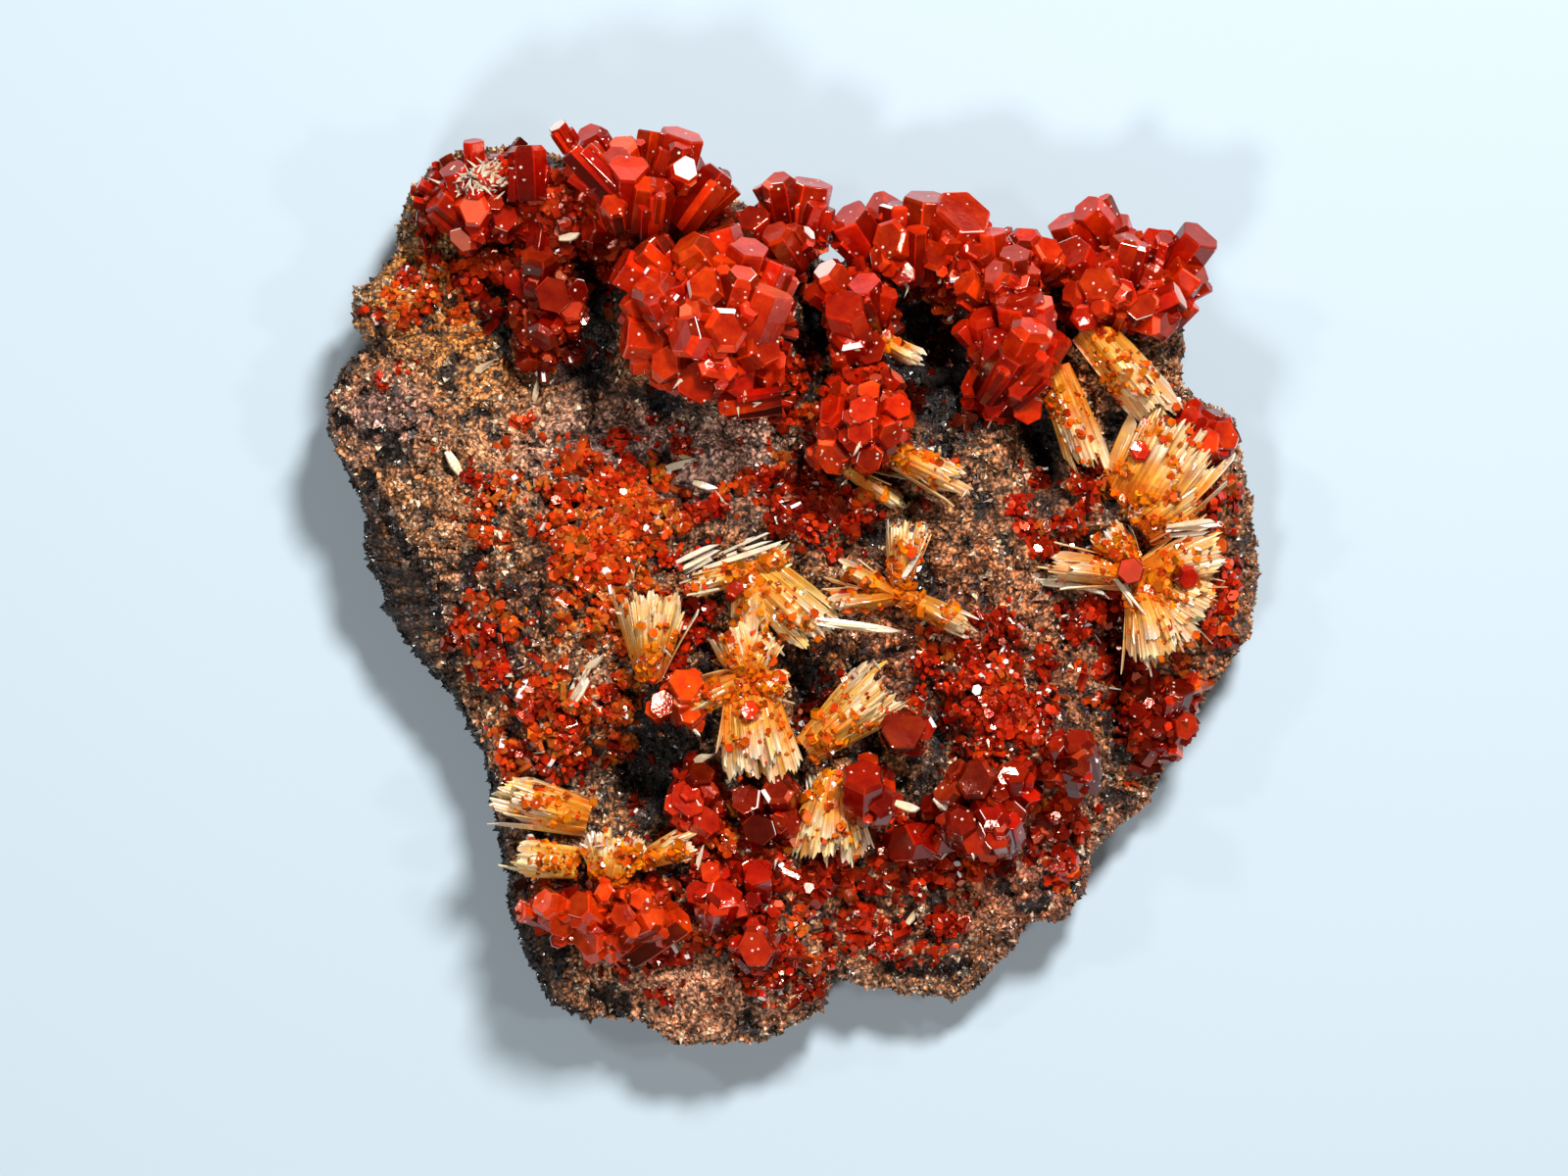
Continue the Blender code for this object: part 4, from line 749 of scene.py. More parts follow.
vanadinite = {
    # the deep red of darker crystals, also the painted shade towards their feet and on the cores
    "deep": (88, 3, 1),
    "red": (186, 18, 3),
    "orange": (230, 66, 3),
    # painted highlight on the rims and bevels
    "edge": (242, 94, 38),
    "golden": (206, 122, 42),
    "leanTowards": (-0.15, 1.0, 0.0),
    "twist": 23.0,
    "highest": 38.0,
    "partners": (1.0, 0.9, 0.7, 0.5),  # share of the large crystals with a first, second and further smaller one
    "fillers": 150,  # small crystals that fill in each group, for a core of middling size
    # painted light and shade of the faces, pale ends as a painted reflection and white as a painted glint: from
    # and to, where there are two
    "light": {
        "side": (0.2, 1.2), "shoulder": (0.7, 1.4), "edge": (0.7, 1.3), "end": (0.42, 1.18),
        "paleEnd": (1.3, 1.6), "core": 0.8, "most": 1.6, "white": 2.3, "paintedGlint": 2.22,
    },
    # 1 less these shares of the faces are light: pale ends (a painted reflection), and white ends, shoulders,
    # shafts and small crystals' sides (a painted glint)
    "rarity": {"paleEnd": 0.95, "whiteEnd": 0.993, "shoulder": 0.985, "shaft": 0.9995, "small": 0.98},
    # which crystals of a group have an end with a painted white glint
    "paintedGlint": {
        "crest_middle_crystals": (0, 7), "crest_spike_crystals": (4,), "hanging_crystals": (0,),
        "fan_cap_crystals": (4,),
    },
    # a group's core (x, y, height, three half sizes), its orange from 0 to 1, how far its crystals lean
    # towards the crest, and its crystals: tip and radius
    "groups": {
        "crest_left_crystals": (
            (-31.5, 39.8, 1.0, 5.5, 3.6, 3.5), 0.25, 0.5,
            ((-32.3, 45.2, 4.0, 1.2), (-26.8, 44.6, 5.5, 1.9), (-30.5, 42.0, 7.0, 1.7),
             (-34.3, 42.3, 5.5, 1.6), (-36.0, 39.3, 4.5, 1.7), (-32.2, 38.0, 7.0, 1.9),
             (-28.8, 37.4, 5.5, 1.6), (-33.5, 35.2, 4.5, 1.7)),
        ),
        "crest_middle_crystals": (
            (-16.0, 40.3, 1.0, 8.5, 3.4, 3.6), 0.45, 0.75,
            ((-23.7, 46.8, 4.0, 1.1), (-20.7, 46.0, 4.0, 2.1), (-22.2, 44.2, 7.5, 1.6),
             (-17.2, 45.0, 4.5, 1.7), (-16.5, 42.3, 8.5, 2.3), (-14.0, 46.2, 3.0, 1.6),
             (-10.7, 45.8, 5.5, 2.3), (-10.6, 42.2, 8.8, 1.7), (-7.0, 42.0, 5.5, 2.3),
             (-13.4, 40.8, 8.6, 1.7), (-19.9, 41.2, 7.0, 1.7)),
        ),
        "hollow_left_crystals": (
            (-25.5, 30.5, 3.0, 2.8, 8.0, 3.5), -0.05, 0.3,
            ((-25.2, 38.0, 8.0, 1.7), (-25.6, 34.0, 8.8, 2.0), (-24.3, 29.6, 9.0, 2.1),
             (-22.6, 28.6, 8.0, 1.7), (-25.5, 25.0, 7.5, 1.8), (-28.6, 32.2, 6.0, 1.6)),
        ),
        "hollow_upper_crystals": (
            (-17.0, 36.2, 0.5, 5.0, 2.6, 3.0), -0.1, 0.3,
            ((-20.7, 36.5, 4.5, 1.6), (-17.0, 37.4, 6.0, 1.7), (-13.8, 37.6, 6.0, 1.6)),
        ),
        "great_cluster": (
            (-8.2, 27.0, 2.0, 7.0, 6.6, 5.0), 0.5, 0.35,
            ((-17.3, 32.2, 5.8, 2.5), (-14.2, 30.6, 8.8, 2.6), (-14.8, 34.6, 5.0, 1.6),
             (-10.5, 34.6, 7.6, 2.5), (-7.2, 36.0, 6.0, 2.1), (-4.2, 34.2, 7.4, 2.3),
             (-1.2, 32.6, 5.0, 1.9), (-8.8, 30.2, 11.4, 2.3), (-11.2, 25.2, 12.2, 2.8),
             (-13.6, 27.4, 9.8, 2.2), (-7.2, 22.4, 10.8, 2.2), (-12.6, 22.4, 8.6, 2.0),
             (-16.8, 25.3, 6.2, 2.3), (-6.3, 25.6, 12.0, 2.4), (-2.0, 29.6, 9.4, 2.6),
             (-4.8, 31.4, 10.6, 2.2), (-2.5, 24.3, 9.4, 2.4), (-9.2, 20.8, 8.6, 2.4),
             (-4.7, 20.4, 7.6, 2.2), (-1.5, 20.8, 5.4, 1.9), (-13.5, 21.5, 5.0, 1.6),
             (-7.4, 18.4, 5.0, 1.7)),
        ),
        "crest_spike_crystals": (
            (0.2, 36.8, 2.0, 3.8, 3.0, 3.2), 0.5, 0.8,
            ((-3.8, 37.6, 7.4, 1.7), (-1.2, 41.6, 8.0, 2.0), (2.2, 41.2, 5.5, 2.1),
             (-1.7, 35.9, 10.0, 1.8), (1.9, 36.0, 7.4, 1.4)),
        ),
        "hanging_crystals": (
            (6.8, 28.4, 3.0, 3.0, 4.2, 3.6), 0.45, 0.45,
            ((3.4, 32.2, 10.0, 1.8), (7.4, 30.8, 10.2, 1.9), (5.4, 28.4, 12.0, 2.3),
             (6.0, 25.9, 10.2, 2.1), (8.3, 24.2, 8.6, 1.8)),
        ),
        "crest_right_crystals": (
            (12.8, 34.8, 2.0, 6.0, 2.8, 3.2), 0.52, 0.6,
            ((5.9, 37.9, 6.0, 2.5), (8.6, 38.8, 4.5, 2.0), (14.0, 39.9, 5.5, 3.0),
             (17.7, 38.2, 8.0, 2.9), (10.0, 35.4, 8.6, 2.2), (18.6, 35.0, 5.4, 1.8),
             (11.2, 32.2, 6.8, 1.8), (14.8, 33.6, 8.0, 2.0)),
        ),
        "crest_outer_crystals": (
            (21.8, 32.6, 1.5, 5.6, 3.0, 3.2), 0.5, 0.5,
            ((20.6, 36.2, 5.0, 1.6), (24.0, 35.8, 5.2, 1.9), (22.9, 33.8, 8.0, 1.9),
             (20.6, 32.0, 8.2, 2.1), (17.6, 31.0, 4.6, 1.7), (26.3, 34.4, 6.2, 1.7),
             (24.3, 31.0, 6.0, 1.6)),
        ),
        "crest_corner_crystals": (
            (34.0, 33.4, 1.5, 6.6, 2.6, 3.2), 0.45, 0.75,
            ((27.9, 37.4, 5.0, 1.9), (30.2, 38.7, 6.4, 2.0), (33.2, 37.2, 4.8, 1.8),
             (28.6, 34.2, 8.4, 2.2), (34.6, 35.6, 8.2, 1.7), (37.6, 35.4, 5.8, 1.9),
             (41.8, 35.8, 7.0, 2.2), (41.0, 32.8, 6.6, 2.3), (37.0, 32.0, 7.0, 2.0),
             (32.0, 33.6, 8.4, 1.8)),
        ),
        "fan_cap_crystals": (
            (34.0, 28.6, 1.5, 5.8, 2.2, 3.2), 0.5, 0.35,
            ((28.4, 30.0, 6.0, 1.9), (30.9, 30.6, 8.4, 2.2), (33.5, 30.0, 8.0, 1.9),
             (29.7, 27.4, 7.4, 1.7), (39.7, 29.6, 5.6, 1.8), (38.6, 26.8, 5.4, 2.2),
             (35.8, 28.4, 7.6, 1.6)),
        ),
        "right_inner_crystals": (
            (22.8, 24.2, 3.0, 3.8, 5.4, 4.0), 0.35, 0.6,
            ((23.2, 29.2, 10.4, 2.7), (19.5, 27.8, 8.0, 2.0), (18.9, 25.3, 6.4, 1.9),
             (24.6, 26.3, 12.6, 2.5), (22.6, 23.8, 12.0, 2.2), (25.6, 22.9, 10.8, 1.9),
             (27.0, 25.6, 9.0, 1.7), (23.2, 20.6, 10.8, 2.1), (18.4, 20.6, 6.0, 1.9),
             (24.0, 17.9, 8.2, 1.8), (20.8, 18.6, 7.0, 1.6)),
        ),
        "middle_cluster": (
            (7.4, 17.4, 3.0, 4.0, 4.6, 4.2), 0.45, 0.25,
            ((3.9, 18.2, 8.0, 1.8), (7.4, 17.8, 11.6, 1.7), (11.0, 18.2, 8.4, 1.7),
             (3.6, 15.3, 8.0, 1.7), (6.8, 15.4, 11.2, 1.6), (10.2, 15.2, 9.6, 1.6),
             (3.8, 12.8, 7.4, 2.1), (8.0, 12.8, 8.6, 1.6)),
        ),
        "fan_tip_prism": ((11.5, -14.8, 3.0, 1.8, 1.8, 2.4), 0.0, 0.05, ((11.6, -14.7, 8.0, 2.3),)),
        "tabular_crystals": (
            (8.2, -20.4, 2.5, 2.2, 2.0, 2.4), 0.25, 0.2, ((7.6, -19.0, 7.6, 2.4), (9.4, -21.9, 7.0, 1.8)),
        ),
        "lower_right_cluster": (
            (19.2, -22.2, -2.0, 4.4, 4.0, 4.0), 0.0, 0.2,
            ((18.6, -19.6, 6.6, 2.2), (15.6, -20.8, 4.8, 1.8), (22.8, -19.0, 5.0, 1.8),
             (20.4, -22.8, 7.0, 1.9), (17.2, -23.6, 6.0, 1.9), (19.2, -25.7, 5.4, 1.9),
             (22.6, -23.2, 4.8, 1.6), (21.2, -20.8, 6.0, 1.3), (16.6, -18.4, 4.4, 1.3),
             (24.4, -21.2, 4.0, 1.2)),
        ),
        "knob_crystals": (
            (28.4, -17.8, 1.0, 2.6, 2.6, 2.6), 0.1, 0.5,
            ((29.0, -15.4, 5.4, 2.0), (29.7, -18.0, 6.6, 1.6)),
        ),
        "lower_tabular_crystals": (
            (12.8, -26.8, 0.0, 2.8, 1.7, 2.4), 0.0, 0.15, ((11.2, -26.5, 4.6, 2.2), (14.7, -26.0, 4.4, 1.7)),
        ),
        "lower_left_crystals": (
            (-19.0, -33.4, -2.0, 7.4, 2.6, 3.6), 0.8, 0.3,
            ((-25.2, -32.0, 6.4, 1.9), (-21.6, -32.4, 7.6, 1.7), (-20.9, -36.1, 6.0, 2.0),
             (-17.0, -33.4, 7.6, 1.6), (-13.6, -33.6, 7.2, 1.7), (-11.0, -34.0, 5.6, 1.6),
             (-16.9, -36.2, 5.4, 1.4), (-23.4, -34.6, 6.4, 1.4), (-19.0, -31.2, 7.2, 1.3),
             (-15.2, -31.8, 6.8, 1.3), (-18.8, -37.8, 4.4, 1.2), (-12.6, -35.8, 4.8, 1.2)),
        ),
        "lower_row_crystals": (
            (-6.4, -30.2, -2.0, 3.6, 2.2, 3.2), 0.3, 0.3,
            ((-6.8, -30.9, 5.4, 2.0), (-9.6, -31.2, 4.6, 1.5), (-3.4, -29.2, 4.4, 1.6),
             (-5.0, -32.8, 3.8, 1.2), (-8.2, -29.0, 4.6, 1.3)),
        ),
        "bottom_crystal": (
            (-3.6, -37.0, 0.5, 1.7, 1.7, 1.9), 0.1, 0.35,
            ((-3.6, -37.0, 5.0, 2.0), (-5.4, -36.2, 3.6, 1.2)),
        ),
        "right_rim_crystals": (
            (38.0, -13.0, 0.5, 3.2, 4.2, 2.6), 0.05, 0.1,
            ((40.8, -14.4, 3.0, 1.7), (40.2, -10.4, 4.0, 1.6)),
        ),
        "inner_left_crystals": (
            (-9.4, -21.8, 2.5, 2.5, 4.0, 2.8), 0.2, 0.5,
            ((-9.2, -19.0, 7.4, 1.7), (-10.4, -21.6, 7.6, 2.0), (-8.4, -23.8, 7.0, 1.7),
             (-10.4, -25.6, 5.6, 1.7)),
        ),
        "inner_lower_crystals": (
            (-2.2, -22.6, -1.5, 3.0, 3.0, 3.0), -0.05, 0.2,
            ((-1.4, -20.6, 5.2, 1.9), (-4.6, -21.8, 4.8, 1.7), (-3.2, -24.8, 4.4, 1.9),
             (0.2, -24.4, 4.0, 1.6)),
        ),
        "wing_crystals": (
            (-11.2, -11.2, 3.0, 1.7, 2.2, 3.6), 1.1, 0.3,
            ((-10.6, -10.0, 9.6, 1.9), (-13.0, -12.0, 8.2, 1.6), (-10.2, -13.0, 8.8, 1.8)),
        ),
        "fan_top_crystals": (
            (42.4, 15.6, 3.0, 2.8, 2.0, 2.2), 0.4, 0.4,
            ((40.4, 17.4, 5.6, 1.6), (42.0, 14.6, 7.2, 1.9), (44.6, 15.6, 5.8, 1.8)),
        ),
    },
}


def hexCorners(turn, across):
    # corners of a six-sided figure with its own distance to each side: where side k meets side k+1,
    # x = (d_k sin a_k+1 - d_k+1 sin a_k) / sin 60, y = (d_k+1 cos a_k - d_k cos a_k+1) / sin 60
    a = turn[:, None] + np.arange(6) * math.pi / 3
    b, d, e = np.roll(a, -1, axis=1), across, np.roll(across, -1, axis=1)
    root = math.sin(math.pi / 3)
    return np.stack(((d * np.sin(b) - e * np.sin(a)) / root, (e * np.cos(a) - d * np.cos(b)) / root), axis=-1)


def growCrystals(feet, tips, radii, turns, orange, rng, paintedGlint=False):
    # a hexagon of uneven sides carried up the axis by rings of (height, scale): shaft, shoulder, bevel, rim,
    # sunken middle. Each corner is two points, so that the edges have a narrow face of their own, with its own
    # painted light
    count, share = len(feet), 0.05
    axes = tips - feet
    length = np.linalg.norm(axes, axis=1)
    corners = hexCorners(np.zeros(count), radii[:, None] * 0.866 * rng.uniform(0.82, 1.12, (count, 6)))
    nearer = corners + share * (np.roll(corners, 1, axis=1) - corners)
    further = corners + share * (np.roll(corners, -1, axis=1) - corners)
    section = np.stack((nearer, further), axis=2).reshape(count, 12, 2)
    flat = rng.uniform(0, 1, count) < 0.55
    rise = np.where(flat, radii * 0.07, radii * rng.uniform(0.12, 0.36, count))
    top = np.where(flat, 0.93, rng.uniform(0.6, 0.86, count))
    thin, hop = 0.03 * radii, radii * rng.uniform(0.0, 0.05, count)
    one = np.ones(count)
    rings = (
        (0 * length, 0.86 * one), (0.3 * length, 0.97 * one), (0.62 * length, one), (length - rise - thin, one),
        (length - rise, 0.975 * one), (length - thin * 0.6, top + 0.03), (length, top - 0.02),
    )
    # painted highlight in the edge colour towards the rim, painted shade in the deep colour towards the foot
    paleness = np.repeat((0.0, 0.0, 0.0, 0.12, 0.38, 0.42, 0.3), 12)
    shadeDepth = np.repeat((1.3, 0.8, 0.25, 0.0, 0.0, 0.0, 0.0), 12)
    each = len(rings) * 12 + 1
    local = np.zeros((count, each, 3))
    for k, (height, scale) in enumerate(rings):
        local[:, k * 12 : k * 12 + 12, :2] = section * scale[:, None, None]
        local[:, k * 12 : k * 12 + 12, 2] = height[:, None]
    local[:, -1, 2] = length - hop
    points = feet[:, None] + local @ framesAlong(axes, turns)
    j = np.arange(12)
    cap = np.stack((each - 13 + j, each - 13 + (j + 1) % 12, np.full(12, each - 1)), -1)
    faces = repeatFaces([ringFaces(len(rings), 12), cap, np.arange(11, -1, -1)[None]], count, each)
    # each face's painted light, with pale and white ends as painted reflections and glints
    light = vanadinite["light"]
    most = np.where(radii > 0.8, light["most"], light["white"])
    ends = np.where(paintedGlint, light["paintedGlint"], np.minimum(paintedEndLight(count, rng), most))
    facets = paintedSideLight(count, 6, len(rings) - 1, 2, rng), np.repeat(ends, 12), np.ones(count)
    tint = shadeCrystals(orange, np.append(paleness, 0.25), np.append(shadeDepth, 0.0), rng)
    return points.reshape(-1, 3), faces, tint, facets


def paintedSideLight(count, sides, rings, columns, rng):
    # painted light and shade: one lightness for each side of each crystal, changed on its shoulders; the narrow
    # edge columns have one of their own, and a few faces get a painted white glint
    light, rarity = vanadinite["light"], vanadinite["rarity"]
    value = rng.uniform(*light["side"], (count, 1, sides, 1)) * np.ones((count, rings, 1, columns))
    change = rng.uniform(*light["shoulder"], (count, 1, sides, 1))
    value[:, 1:] = value[:, 1:] * change ** (np.arange(rings - 1) > rings - 4)[:, None, None]
    if columns > 1:
        value[..., 0] = rng.uniform(*light["edge"], (count, 1, sides))
    rare = np.where(np.arange(rings) > rings - 4, rarity["shoulder"], rarity["shaft"])
    if rings == 1:
        rare = np.array([rarity["small"]])
    sparkle = rng.uniform(0, 1, (count, rings, sides, 1)) > rare[:, None, None]
    return np.where(sparkle, light["white"], value).reshape(-1)


def paintedEndLight(count, rng):
    # painted light: the ends are lighter than the sides, some of them a pale painted reflection and a few a white
    # painted glint
    light, rarity = vanadinite["light"], vanadinite["rarity"]
    value = rng.uniform(*light["end"], count)
    pale = rng.uniform(0, 1, count) > rarity["paleEnd"]
    value = np.where(pale, rng.uniform(*light["paleEnd"], count), value)
    return np.where(rng.uniform(0, 1, count) > rarity["whiteEnd"], light["white"], value)


def growSmall(feet, tips, radii, orange, rng):
    # the same growth with two rings only, the foot and the flat top's rim
    count = len(feet)
    axes = tips - feet
    length = np.linalg.norm(axes, axis=1)
    section = hexCorners(np.zeros(count), radii[:, None] * 0.866 * rng.uniform(0.75, 1.15, (count, 6)))
    local = np.zeros((count, 12, 3))
    for k, scale in enumerate((rng.uniform(0.8, 1.0, count), rng.uniform(0.86, 1.0, count))):
        local[:, k * 6 : k * 6 + 6, :2] = section * scale[:, None, None]
        local[:, k * 6 : k * 6 + 6, 2] = k * length[:, None]
    points = feet[:, None] + local @ framesAlong(axes, rng.uniform(0, 1.05, count))
    faces = repeatFaces([ringFaces(2, 6), np.array([[6, 7, 8, 9, 10, 11], [5, 4, 3, 2, 1, 0]])], count, 12)
    # painted highlight on the top's rim, painted shade at the foot
    tint = shadeCrystals(orange, np.repeat((0, 0.4), 6), np.repeat((1.2, 0.0), 6), rng)
    most = np.where(radii > 0.7, vanadinite["light"]["most"], vanadinite["light"]["white"])
    ends = np.stack((np.minimum(paintedEndLight(count, rng), most), np.ones(count)), axis=1).reshape(-1)
    facets = np.minimum(paintedSideLight(count, 6, 1, 1, rng), most.repeat(6)), ends
    return points.reshape(-1, 3), faces, tint, facets


def shadeCrystals(orange, paleness, shadeDepth, rng):
    # each crystal's own tint, with painted shade in the deep colour towards its foot and a painted highlight in
    # the pale edge colour at its edges
    tint = crystalTint(orange, rng)[:, None, :]
    pale = (0.5 * rng.uniform(0.1, 1.0, (len(orange), 1)) * paleness[None])[..., None]
    tint = tint * (1 - pale) + linear(vanadinite["edge"]) * pale
    deep = np.clip(0.72 * shadeDepth, 0, 1)[None, :, None]
    return (tint * (1 - deep) + linear(vanadinite["deep"]) * deep).reshape(-1, 3)


def crystalTint(orange, rng):
    # from the deep colour through red to orange, wandering a little from crystal to crystal
    t = (orange + rng.normal(0, 0.16, len(orange)))[:, None]
    red = linear(vanadinite["red"])
    low = red + (linear(vanadinite["deep"]) - red) * np.clip(0.6 - t * 2, 0, 0.9)
    return np.clip(low + (linear(vanadinite["orange"]) - red) * np.clip(t - 0.3, 0, 1.5), 0, 1)


def joinParts(parts):
    # one set of points, faces, tints and face values from several, with the point numbers carried on
    points, faces, tints, facets, start = [], {}, [], {}, 0
    for p, fs, t, vs in parts:
        for f, v in zip(fs, vs):
            faces.setdefault(f.shape[1], []).append(f + start)
            facets.setdefault(f.shape[1], []).append(v)
        points.append(p)
        tints.append(t)
        start += len(p)
    faces = [np.concatenate(f) for f in faces.values()]
    facets = np.concatenate([np.concatenate(v) for v in facets.values()])
    return np.concatenate(points), faces, np.concatenate(tints), facets


def spreadDirections(count, rng):
    # evenly spread directions over the upper side of a ball, a little uneven
    k = np.arange(count) + 0.5
    z = 1 - 1.25 * k / count
    turn = k * math.pi * (1 + 5**0.5)
    flat = np.sqrt(np.maximum(0, 1 - z * z))
    even = np.stack((flat * np.cos(turn), flat * np.sin(turn), z), axis=-1)
    return unit(even + rng.normal(0, 0.22, (count, 3)))


def growCore(centre, sizes, rng):
    # a lumpy ball under the crystals: radius = half sizes * (0.8 + 0.12 noise), rings from pole to pole
    rings, columns = 9, 16
    j = np.arange(columns)
    levels = np.linspace(-1, 1, rings + 2)[1:-1] * math.pi / 2
    lift, turn = np.meshgrid(levels, j * 2 * math.pi / columns, indexing="ij")
    ball = np.stack((np.cos(lift) * np.cos(turn), np.cos(lift) * np.sin(turn), np.sin(lift)), axis=-1)
    ball = np.concatenate((ball.reshape(-1, 3), [[0, 0, -1.0], [0, 0, 1.0]]))
    grown = ball * (0.8 + rng.uniform(-0.12, 0.12, (len(ball), 1)))
    after, last = (j + 1) % columns, (rings - 1) * columns
    below = np.stack((after, j, np.full(columns, rings * columns)), axis=-1)
    above = np.stack((last + j, last + after, np.full(columns, rings * columns + 1)), axis=-1)
    # the core in the deep red with a dim painted light: painted shade in the gaps between the crystals
    tint = linear(vanadinite["deep"]) * np.ones((len(ball), 1))
    faces = [ringFaces(rings, columns), np.concatenate((below, above))]
    return centre + grown * sizes, faces, tint, [np.full(len(f), vanadinite["light"]["core"]) for f in faces]


def buildVanadinite():
    # large crystals have their tips where the solids have them, and point out of the core and towards the
    # crest; many have a smaller partner grown along them, and smaller ones crust the core between them
    rng = np.random.default_rng(23)
    for name, (core, orange, leaning, crystals) in vanadinite["groups"].items():
        centre, sizes = np.array(core[:3]), np.array(core[3:])
        lean = leaning * np.array(vanadinite["leanTowards"])
        ground = float(broadHeight(centre[0], centre[1]))
        centre[2] += ground
        table = np.array(crystals)
        tips, radii = table[:, :3] + (0, 0, ground), table[:, 3]
        axes = unit(unit(tips - centre) + lean + rng.normal(0, 0.25, tips.shape))
        tips[:, 2] = np.minimum(tips[:, 2], vanadinite["highest"] - 0.35 * radii)
        reach = np.linalg.norm(tips - centre, axis=1)
        feet = tips - axes * np.maximum(rng.uniform(1.9, 3.2, len(tips)) * radii, 0.7 * reach)[:, None]
        turns = np.radians(vanadinite["twist"] * np.arange(len(tips)))
        tones = np.full(len(tips), orange)
        paintedGlint = np.isin(np.arange(len(tips)), vanadinite["paintedGlint"].get(name, ()))
        parts = [growCore(centre, sizes, rng)]
        parts.append(growCrystals(feet, tips, radii, turns, tones, rng, paintedGlint))
        for share in vanadinite["partners"]:
            paired = rng.uniform(0, 1, len(tips)) < share
            if not paired.any():
                continue
            sideways = framesAlong(axes[paired], rng.uniform(0, 6.3, paired.sum()))[:, 0]
            aside = sideways * (radii[paired] * rng.uniform(0.7, 1.0, paired.sum()))[:, None]
            tilt = aside * rng.uniform(-0.2, 0.5, (paired.sum(), 1))
            shorter = axes[paired] * (radii[paired] * rng.uniform(0.1, 1.3, paired.sum()))[:, None]
            size = radii[paired] * rng.uniform(0.3, 0.7, paired.sum())
            ends = tips[paired] + aside + tilt - shorter
            ends[:, 2] = np.minimum(ends[:, 2], vanadinite["highest"] - size)
            starts = feet[paired] + aside - tilt
            parts.append(growCrystals(starts, ends, size, turns[paired], tones[paired], rng))
        count = int(vanadinite["fillers"] * (sizes.prod() / 60) ** 0.5) + 8
        directions = spreadDirections(count, rng)
        small = 0.35 + 1.15 * rng.beta(1.2, 2.2, count)
        ends = centre + directions * sizes * rng.uniform(0.95, 1.3, count)[:, None]
        pointing = unit(directions + 0.7 * lean + rng.normal(0, 0.25, directions.shape))
        keep = ends[:, 2] > 3
        starts = ends - pointing * (3.0 * small)[:, None]
        parts.append(growSmall(starts[keep], ends[keep], small[keep], np.full(keep.sum(), orange - 0.1), rng))
        points, faces, tint, faceLight = joinParts(parts)
        piece = putMesh(name.replace("_", "-"), points, faces, vanadiniteFinish, {"tint": tint, "faceLight": faceLight})
        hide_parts(name)


def buildCarpets():
    # small crystals in rosettes: each patch has rosettes spread over it, and a rosette's crystals point out
    # of a low ball half sunk in the rock; one crystal in five stands alone
    rng = np.random.default_rng(37)
    feet, tips, radii, orange, lifts = [], [], [], [], []
    for cx, cy, halfLength, halfWidth, turn, count, least, most, tone, lift in carpets:
        sheet = halfLength > 40
        c, s = math.cos(math.radians(turn)), math.sin(math.radians(turn))
        balls = max(3, int(count / 15))
        a, b = rng.uniform(-1, 1, (2, balls)) if sheet else rng.normal(0, 0.52, (2, balls))
        x, y = cx + a * halfLength * c - b * halfWidth * s, cy + a * halfLength * s + b * halfWidth * c
        ball = (0.75 + 1.4 * rng.beta(1.2, 2.0, balls)) * (1 if most > 0.8 else 0.8)
        which = rng.choice(balls, int(count * 1.05), p=ball**2 / (ball**2).sum())
        outward = unit(rng.normal(0, 1, (len(which), 3)) + (0, 0.25, 0.45))
        outward[:, 2] = np.abs(outward[:, 2])
        spread = outward * (1.0, 1.0, 0.75) * ball[which, None]
        px, py = x[which] + spread[:, 0], y[which] + spread[:, 1]
        alone = rng.uniform(0, 1, len(which)) < 0.2
        px = np.where(alone, px + rng.normal(0, 1.6, len(which)), px)
        py = np.where(alone, py + rng.normal(0, 1.6, len(which)), py)
        middle = broadHeight(x, y)[which] + lift
        surface = fineHeight(px, py)
        height = np.where(alone, surface + 0.25, np.maximum(surface - 0.2, middle + spread[:, 2]))
        size = least * 0.8 + (most - least) * 0.8 * rng.beta(1.2, 2.4, len(which))
        axes = unit(outward + rng.normal(0, 0.25, outward.shape))
        ends = np.stack((px, py, height), axis=-1) + axes * 0.3 * size[:, None]
        feet.append(ends - axes * (size * rng.uniform(2.2, 3.4, len(which)))[:, None])
        tips.append(ends)
        radii.append(size)
        orange.append(tone + rng.normal(0, 0.28, balls)[which])
        lifts.append(np.full(len(which), lift))
    feet, tips, radii, orange, lifts = (np.concatenate(v) for v in (feet, tips, radii, orange, lifts))
    edge = rimRadius(np.arctan2(tips[:, 1], tips[:, 0])) - 0.3 * radii - 0.7
    inside = (np.hypot(tips[:, 0], tips[:, 1]) < edge) & (tips[:, 2] > 6) & (tips[:, 2] < vanadinite["highest"])
    feet, tips, radii, orange, lifts = feet[inside], tips[inside], radii[inside], orange[inside], lifts[inside]
    bounds = np.linspace(0, len(radii), 6).astype(int)
    for k in range(5):
        part = slice(bounds[k], bounds[k + 1])
        points, faces, tint, facets = growSmall(feet[part], tips[part], radii[part], orange[part], rng)
        # painted shade: crystals in hollows darker, less where their rosettes are lifted
        sunk = sunkenness(tips[part, 0], tips[part, 1]) * np.clip(1 - lifts[part] / 4, 0, 1)
        golden = np.repeat(smoothStep(0.5, 0.9, orange[part]) * rng.beta(0.5, 1.3, len(sunk)), 12)[:, None]
        tint = tint * (1 - golden) + linear(vanadinite["golden"]) * golden
        shade = np.repeat(1 - 0.85 * sunk, 12)[:, None]
        values = {"tint": tint * shade, "faceLight": np.concatenate(facets)}
        piece = putMesh(f"smallCrystals{k + 1}", points, faces, smallVanadiniteFinish, values)


buildVanadinite()
buildCarpets()

